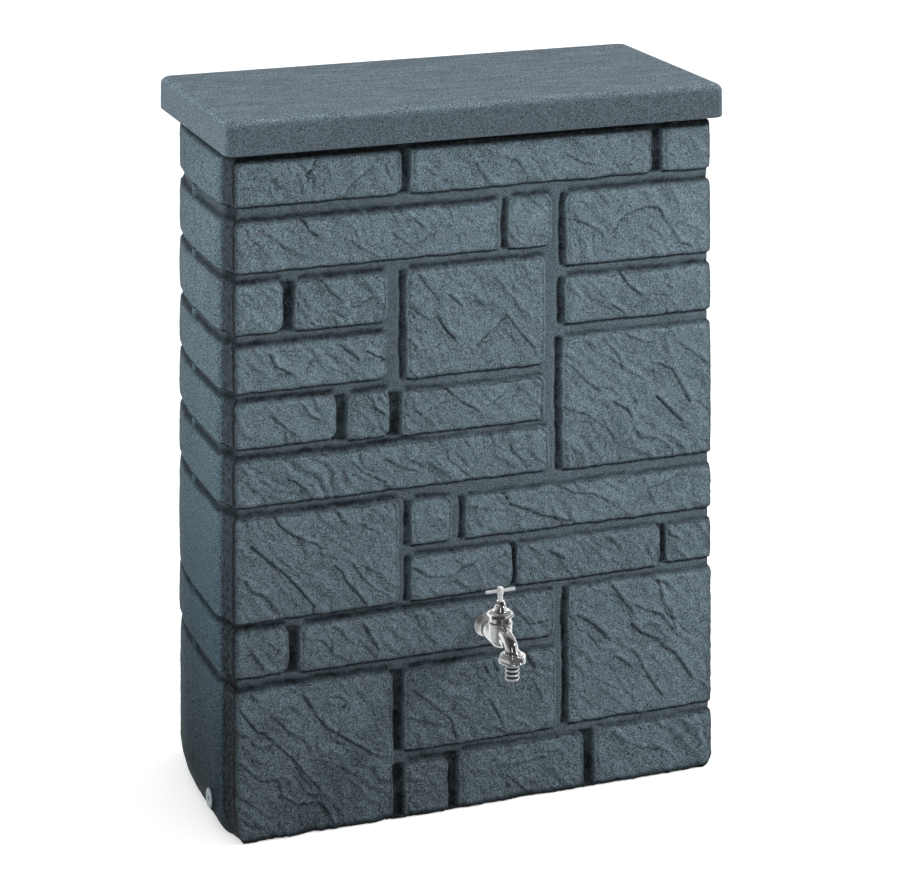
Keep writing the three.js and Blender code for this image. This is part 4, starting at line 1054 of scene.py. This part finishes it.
        # soiling and painted shade from the mask darken towards the dark colour, which is bluer towards the ground
        grime_and_shade = m.math("MULTIPLY", cav, m.remap(m.noise(120, 3, 0.65), 0.3, 0.7, 0.80, 1.16), clamp=True)
        col = m.mix(grime_and_shade, col, m.mix(1.0, m.mix(fall, dark, m.mix(1.0, dark, (0.40, 0.62, 0.68, 1), "MULTIPLY")), m.grey(m.math("ADD", m.math("MULTIPLY", v, 0.6), 0.4)), "MULTIPLY"))
        rough = m.math("ADD", rough, m.math("MULTIPLY", cav, 0.12), clamp=True)
    h = m.math("ADD", fine, m.math("MULTIPLY", micro, 0.7))
    nrm = m.bump(m.noise(75, 4, 0.65), 0.6, 0.0046 if field else 0.0010)
    nrm = m.bump(h, 0.65, 0.0016, nrm)
    sheen = m.math("SUBTRACT", 0.22, m.math("MULTIPLY", side, 0.17)) if field else 0.22
    return m.set(Base_Color=col, Roughness=rough, Normal=nrm, Specular_IOR_Level=sheen)


def chrome(name, tone=1.0, rough=0.08, bevel=0.0004, rim=0.6, haze=0.03, satin=0.0, groove=0.9, barbs=False):
    """Plated metal: smudges, fine scratches, painted shade in the grooves, a painted highlight on convex edges and a
    painted bright rim where the plate turns away.
    """
    m = Mat(name)
    sm = m.noise(38, 3, 0.6)
    base = m.mix(m.remap(sm, 0.35, 0.7, 0.0, 1.0), lin(232 * tone, 234 * tone, 236 * tone), lin(208 * tone, 211 * tone, 215 * tone))
    pt = m.pointy()
    # painted shade in the grooves and a painted highlight on convex edges, both by pointiness
    base = m.mix(m.remap(pt, 0.48, 0.40, 0.0, groove), base, lin(34, 31, 29))
    base = m.mix(m.remap(pt, 0.53, 0.62, 0.0, 0.5), base, lin(243, 244, 245))
    if barbs:
        # painted shade between the barbs, nearest the hose tail's core
        px, py = m.height()[:2]
        rad = m.math("SQRT", m.math("ADD", m.math("POWER", m.math("SUBTRACT", px, OX * MM), 2.0), m.math("POWER", m.math("SUBTRACT", py, OY * MM), 2.0)))
        base = m.mix(m.remap(rad, 0.0100, 0.0090, 0.0, 0.96), base, lin(20, 19, 18))
    scr = m.noise(700, 2, 0.6, 0.4)
    r = m.math("ADD", m.remap(sm, 0.3, 0.75, rough * 0.7, rough * 1.6), m.remap(scr, 0.55, 0.75, 0.0, 0.06))
    # painted highlight: the plate is less metal and more diffuse white where it turns away from the view (rim), and a
    # little face-on (haze)
    lw = m.add("ShaderNodeLayerWeight")
    m.put(lw, "Blend", 0.5)
    face = m.remap(lw.outputs["Facing"], 0.62, 0.95, haze, rim)
    if satin:
        # the casting behind the spindle is left satin, the spout is buffed
        back = m.remap(m.height()[1], -0.264, -0.256, 0.0, 1.0)
        face = m.math("MAXIMUM", face, m.math("MULTIPLY", back, satin))
        r = m.math("ADD", r, m.math("MULTIPLY", back, 0.16))
    nrm = m.bump(m.math("ADD", m.noise(60, 2, 0.5), m.math("MULTIPLY", scr, 0.08)), 0.10, 0.0009, m.bevel(bevel))
    return m.set(Base_Color=base, Metallic=m.math("SUBTRACT", 1.0, face), Roughness=r, Normal=nrm)


def brass(name):
    m = Mat(name)
    n1 = m.noise(90, 4, 0.6)
    base = m.mix(m.remap(n1, 0.35, 0.7, 0.0, 1.0), lin(190, 156, 92), lin(150, 116, 66))
    base = m.mix(m.remap(m.pointy(), 0.52, 0.6, 0.0, 0.6), base, lin(222, 192, 132))
    nrm = m.bump(m.noise(1500, 2, 0.5), 0.2, 0.0003, m.bevel(0.0003))
    return m.set(Base_Color=base, Metallic=1.0, Roughness=m.remap(n1, 0.3, 0.7, 0.24, 0.48), Normal=nrm)


def soft(name, a, b, rlo, rhi, scale=260, bump=0.0004, wear=(120, 120, 120)):
    """Rubber, fibre and small plastic pieces: two-tone grain, rubbed edges."""
    m = Mat(name)
    n1, n2 = m.noise(scale, 4, 0.65), m.noise(scale * 0.18, 3, 0.6)
    base = m.mix(m.remap(m.math("ADD", n1, n2), 0.75, 1.25, 0.0, 1.0), lin(*a), lin(*b))
    base = m.mix(m.remap(m.pointy(), 0.52, 0.62, 0.0, 0.45), base, lin(*wear))
    nrm = m.bump(n1, 0.4, bump, m.bevel(0.0004))
    return m.set(Base_Color=base, Roughness=m.remap(n2, 0.3, 0.7, rlo, rhi), Normal=nrm)


def assign(ob, mat):
    ob.data.materials.clear()
    ob.data.materials.append(mat)


# ---------------------------------------------------------------- build
STONE = granite("slate_granite_tank", lin(96, 111, 119), lin(18, 28, 34), wear=0.75)
SLAB = granite("slate_granite_lid", lin(98, 112, 121), lin(50, 58, 64), wear=0.5, field=False, grain=0.8)
CHROME = chrome("chrome_tap")
CHROME_CAST = chrome("chrome_casting", satin=0.40)
CHROME_ROSE = chrome("chrome_rosette", tone=0.86, rough=0.18, haze=0.16, rim=0.55)
CHROME_NOZZLE = chrome("chrome_nozzle", rough=0.14, haze=0.45, rim=0.7, barbs=True)
CHROME_NUT = chrome("chrome_nut", rough=0.1, haze=0.08, rim=0.55)
CHROME_BAR = chrome("chrome_bar", rough=0.16, haze=0.55, rim=0.8)
BRASS = brass("brass_fittings")
RUBBER = soft("seal_rubber", (30, 30, 32), (44, 44, 46), 0.6, 0.85, wear=(66, 66, 68))
FIBRE = soft("dark_fibre", (66, 62, 58), (84, 79, 74), 0.7, 0.9, 420, wear=(110, 104, 98))
PALE = soft("pale_plug_plastic", (134, 146, 152), (156, 167, 172), 0.35, 0.55, 500, 0.0003, wear=(205, 210, 212))

tank = build_tank()
assign(tank, STONE)
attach(tank, "tank")
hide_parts("tank_body")

lid = build_lid()
assign(lid, SLAB)
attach(lid, "lid")
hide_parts("lid")
tank.visible_glossy = lid.visible_glossy = False      # the plate mirrors the studio, not the wall behind it

BODY_OF = {"spindle": "handle", "handle_bar": "handle"}
PLATE = {"side_plug": PALE, "handle_bar": CHROME_BAR, "spindle": CHROME_BAR, "tap_body": CHROME_CAST, "tap_rosette": CHROME_ROSE, "hose_nozzle": CHROME_NOZZLE, "coupling_nut": CHROME_NUT}
for node, ob in build_tap().items():
    assign(ob, PLATE.get(node, CHROME))
    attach(ob, BODY_OF.get(node, "tank"))
    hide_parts(node)

KEPT = {"tap_insert": (BRASS, "brass"), "side_insert": (BRASS, "brass"), "jumper_valve": (BRASS, "brass"), "washer_nut": (BRASS, "brass"),
        "inlet_seal": (RUBBER, "seal_rubber"), "gland_packing": (RUBBER, "seal_rubber"), "valve_washer": (RUBBER, "seal_rubber"), "nozzle_gasket": (RUBBER, "seal_rubber"),
        "side_plug_seal": (RUBBER, "seal_rubber"), "bonnet_gasket": (FIBRE, "fibre")}
for node, (mat, slot) in KEPT.items():
    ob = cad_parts[node]
    assign(ob, mat)
    b = ob.modifiers.new("eased", "BEVEL")
    b.width, b.segments, b.limit_method, b.angle_limit = 0.00012, 2, "ANGLE", math.radians(40)

# ---------------------------------------------------------------- floor, light, camera
def plain(name, colour, rough=0.9):
    m = Mat(name)
    n = m.noise(3, 2, 0.5)
    return m.set(Base_Color=m.mix(m.remap(n, 0.3, 0.7, 0.0, 1.0), colour, tuple(c * 0.985 for c in colour[:3]) + (1,)), Roughness=rough, Specular_IOR_Level=0.1)


bm = bmesh.new()
bmesh.ops.create_grid(bm, x_segments=2, y_segments=2, size=40)
bmesh.ops.translate(bm, vec=(0, 0, -0.0006), verts=bm.verts)
me = bpy.data.meshes.new("floor")
bm.to_mesh(me)
bm.free()
floor = bpy.data.objects.new("floor", me)
bpy.context.scene.collection.objects.link(floor)
floor_mat = plain("pale_floor", (0.93, 0.93, 0.93, 1))
ft = floor_mat.node_tree
bsdf = next(n for n in ft.nodes if n.type == "BSDF_PRINCIPLED")
flp = ft.nodes.new("ShaderNodeLightPath")
fmul = ft.nodes.new("ShaderNodeMath")
fmul.operation = "MULTIPLY"
fmul.inputs[1].default_value = 0.42
ft.links.new(flp.outputs["Is Camera Ray"], fmul.inputs[0])
bsdf.inputs["Emission Color"].default_value = (1, 1, 1, 1)
ft.links.new(fmul.outputs[0], bsdf.inputs["Emission Strength"])
assign(floor, floor_mat)
floor.visible_glossy = False

world = bpy.data.worlds.new("studio")
bpy.context.scene.world = world
world.use_nodes = True
wt = world.node_tree
wt.nodes.clear()


def wnode(kind, **kw):
    n = wt.nodes.new(kind)
    for k, v in kw.items():
        setattr(n, k, v)
    return n


def wput(n, k, v):
    if isinstance(v, bpy.types.NodeSocket):
        wt.links.new(v, n.inputs[k])
    else:
        n.inputs[k].default_value = v


def wramp(v, a, b, c, d, smoothstep=False):
    n = wnode("ShaderNodeMapRange")
    if smoothstep:
        n.interpolation_type = "SMOOTHSTEP"
    for k, x in enumerate((v, a, b, c, d)):
        wput(n, k, x)
    return n.outputs[0]


def wmath(op, a, b):
    n = wnode("ShaderNodeMath", operation=op)
    wput(n, 0, a)
    wput(n, 1, b)
    return n.outputs[0]


sky_xyz = wnode("ShaderNodeSeparateXYZ")
wt.links.new(wnode("ShaderNodeTexCoord").outputs["Generated"], sky_xyz.inputs[0])
dx, dy, dz = sky_xyz.outputs[:3]
soft_light = wramp(dz, -0.05, 0.9, 0.30, 1.02)
# across the camera's left and right, as seen from the tap
turn = wmath("ADD", wmath("MULTIPLY", dx, 0.937), wmath("MULTIPLY", dy, -0.350))
toward = wmath("ADD", wmath("MULTIPLY", dx, -0.350), wmath("MULTIPLY", dy, -0.937))
behind = wmath("MULTIPLY", wramp(toward, -0.10, -0.60, 0.0, 1.15, True), wramp(dz, 0.05, 0.30, 1.0, 0.30, True))
left_card = wmath("MULTIPLY", wramp(turn, -0.50, -0.80, 0.04, 0.54, True), wramp(dz, -0.02, 0.25, 1.0, 0.22, True))
right_card = wramp(turn, 0.86, 0.99, 0.0, 0.9, True)
overhead = wmath("MULTIPLY", wmath("MULTIPLY", wramp(turn, -0.10, -0.02, 0.0, 1.0, True), wramp(turn, 0.16, 0.08, 0.0, 1.7, True)), wmath("MULTIPLY", wramp(dz, 0.04, 0.14, 0.0, 1.0, True), wramp(dz, 0.44, 0.56, 1.0, 0.0, True)))
low_strip = wmath("MULTIPLY", wmath("MULTIPLY", wramp(turn, 0.08, 0.16, 0.0, 1.0, True), wramp(turn, 0.42, 0.34, 0.0, 1.35, True)), wmath("MULTIPLY", wramp(dz, -0.52, -0.44, 0.0, 1.0, True), wramp(dz, -0.20, -0.28, 0.0, 1.0, True)))
mirror_light = wmath("MAXIMUM", wmath("MAXIMUM", wmath("MAXIMUM", left_card, right_card), wmath("MAXIMUM", overhead, low_strip)), behind)
lights = wnode("ShaderNodeLightPath")
bg_soft, bg_mirror, bg_cam = wnode("ShaderNodeBackground"), wnode("ShaderNodeBackground"), wnode("ShaderNodeBackground")
wput(bg_soft, 0, (0.97, 0.99, 1, 1))
wput(bg_soft, 1, soft_light)
wput(bg_mirror, 0, (1, 0.985, 0.96, 1))
wput(bg_mirror, 1, mirror_light)
wput(bg_cam, 0, (1, 1, 1, 1))
mix1, mix2 = wnode("ShaderNodeMixShader"), wnode("ShaderNodeMixShader")
wput(mix1, 0, lights.outputs["Is Glossy Ray"])
wput(mix1, 1, bg_soft.outputs[0])
wput(mix1, 2, bg_mirror.outputs[0])
wput(mix2, 0, lights.outputs["Is Camera Ray"])
wput(mix2, 1, mix1.outputs[0])
wput(mix2, 2, bg_cam.outputs[0])
wt.links.new(mix2.outputs[0], wnode("ShaderNodeOutputWorld").inputs[0])


def area(name, loc, target, size, watts, size_y=None):
    l = bpy.data.lights.new(name, "AREA")
    l.energy, l.size, l.shape = watts, size, "RECTANGLE"
    l.size_y = size_y or size
    o = bpy.data.objects.new(name, l)
    o.location = loc
    o.rotation_euler = (Vector(target) - Vector(loc)).to_track_quat("-Z", "Y").to_euler()
    bpy.context.scene.collection.objects.link(o)
    return o


KEY = area("key_light", (2.9, -1.75, 2.7), (0, 0, 0.6), 0.6, 108)
FILL = area("fill_light", (-3.4, -1.4, 2.8), (0, 0, 0.9), 1.2, 16)

FILL.visible_glossy = False

cam = bpy.data.cameras.new("camera")
camera = bpy.data.objects.new("camera", cam)
bpy.context.scene.collection.objects.link(camera)
YAW, PITCH, ROLL = 0.35728628908739457, -0.006801394866594869, -0.0019715848433605144
TR = np.array([-34.66391543568655, 1416.7260890285386, 4513.187875107783])
FOCAL, CENTRE_Y = 2877.558020588512, -497.0902272393539


def rot(a, b, c):
    ca, sa, cb, sb, cc, sc = math.cos(a), math.sin(a), math.cos(b), math.sin(b), math.cos(c), math.sin(c)
    Rz = np.array([[ca, -sa, 0], [sa, ca, 0], [0, 0, 1]])
    base = np.array([[1, 0, 0], [0, 0, -1], [0, 1, 0]])
    Rx = np.array([[1, 0, 0], [0, cb, -sb], [0, sb, cb]])
    Rr = np.array([[cc, -sc, 0], [sc, cc, 0], [0, 0, 1]])
    return Rr @ Rx @ base @ Rz


Rc = rot(YAW, PITCH, ROLL)
C = (-Rc.T @ TR + np.array([0, 0, 550])) * MM
Rb = Rc.T @ np.diag([1, -1, -1])
M = Matrix([list(Rb[k]) + [C[k]] for k in range(3)] + [[0, 0, 0, 1]])
camera.matrix_world = M
cam.sensor_width, cam.sensor_fit = 36, "HORIZONTAL"
cam.lens = FOCAL / 924 * 36
cam.clip_start, cam.clip_end = 0.05, 100
SHIFT = (CENTRE_Y - 437.5) / 924
drv = cam.driver_add("shift_y").driver
drv.type = "SCRIPTED"
var = drv.variables.new()
var.name, var.type = "x", "TRANSFORMS"
var.targets[0].id, var.targets[0].transform_type, var.targets[0].transform_space = camera, "LOC_X", "WORLD_SPACE"
drv.expression = f"{SHIFT:.6f} if abs(x - ({C[0]:.6f})) < 0.001 else 0"
bpy.context.scene.camera = camera
bpy.context.scene.view_settings.view_transform = "Standard"

bpy.context.view_layer.update()
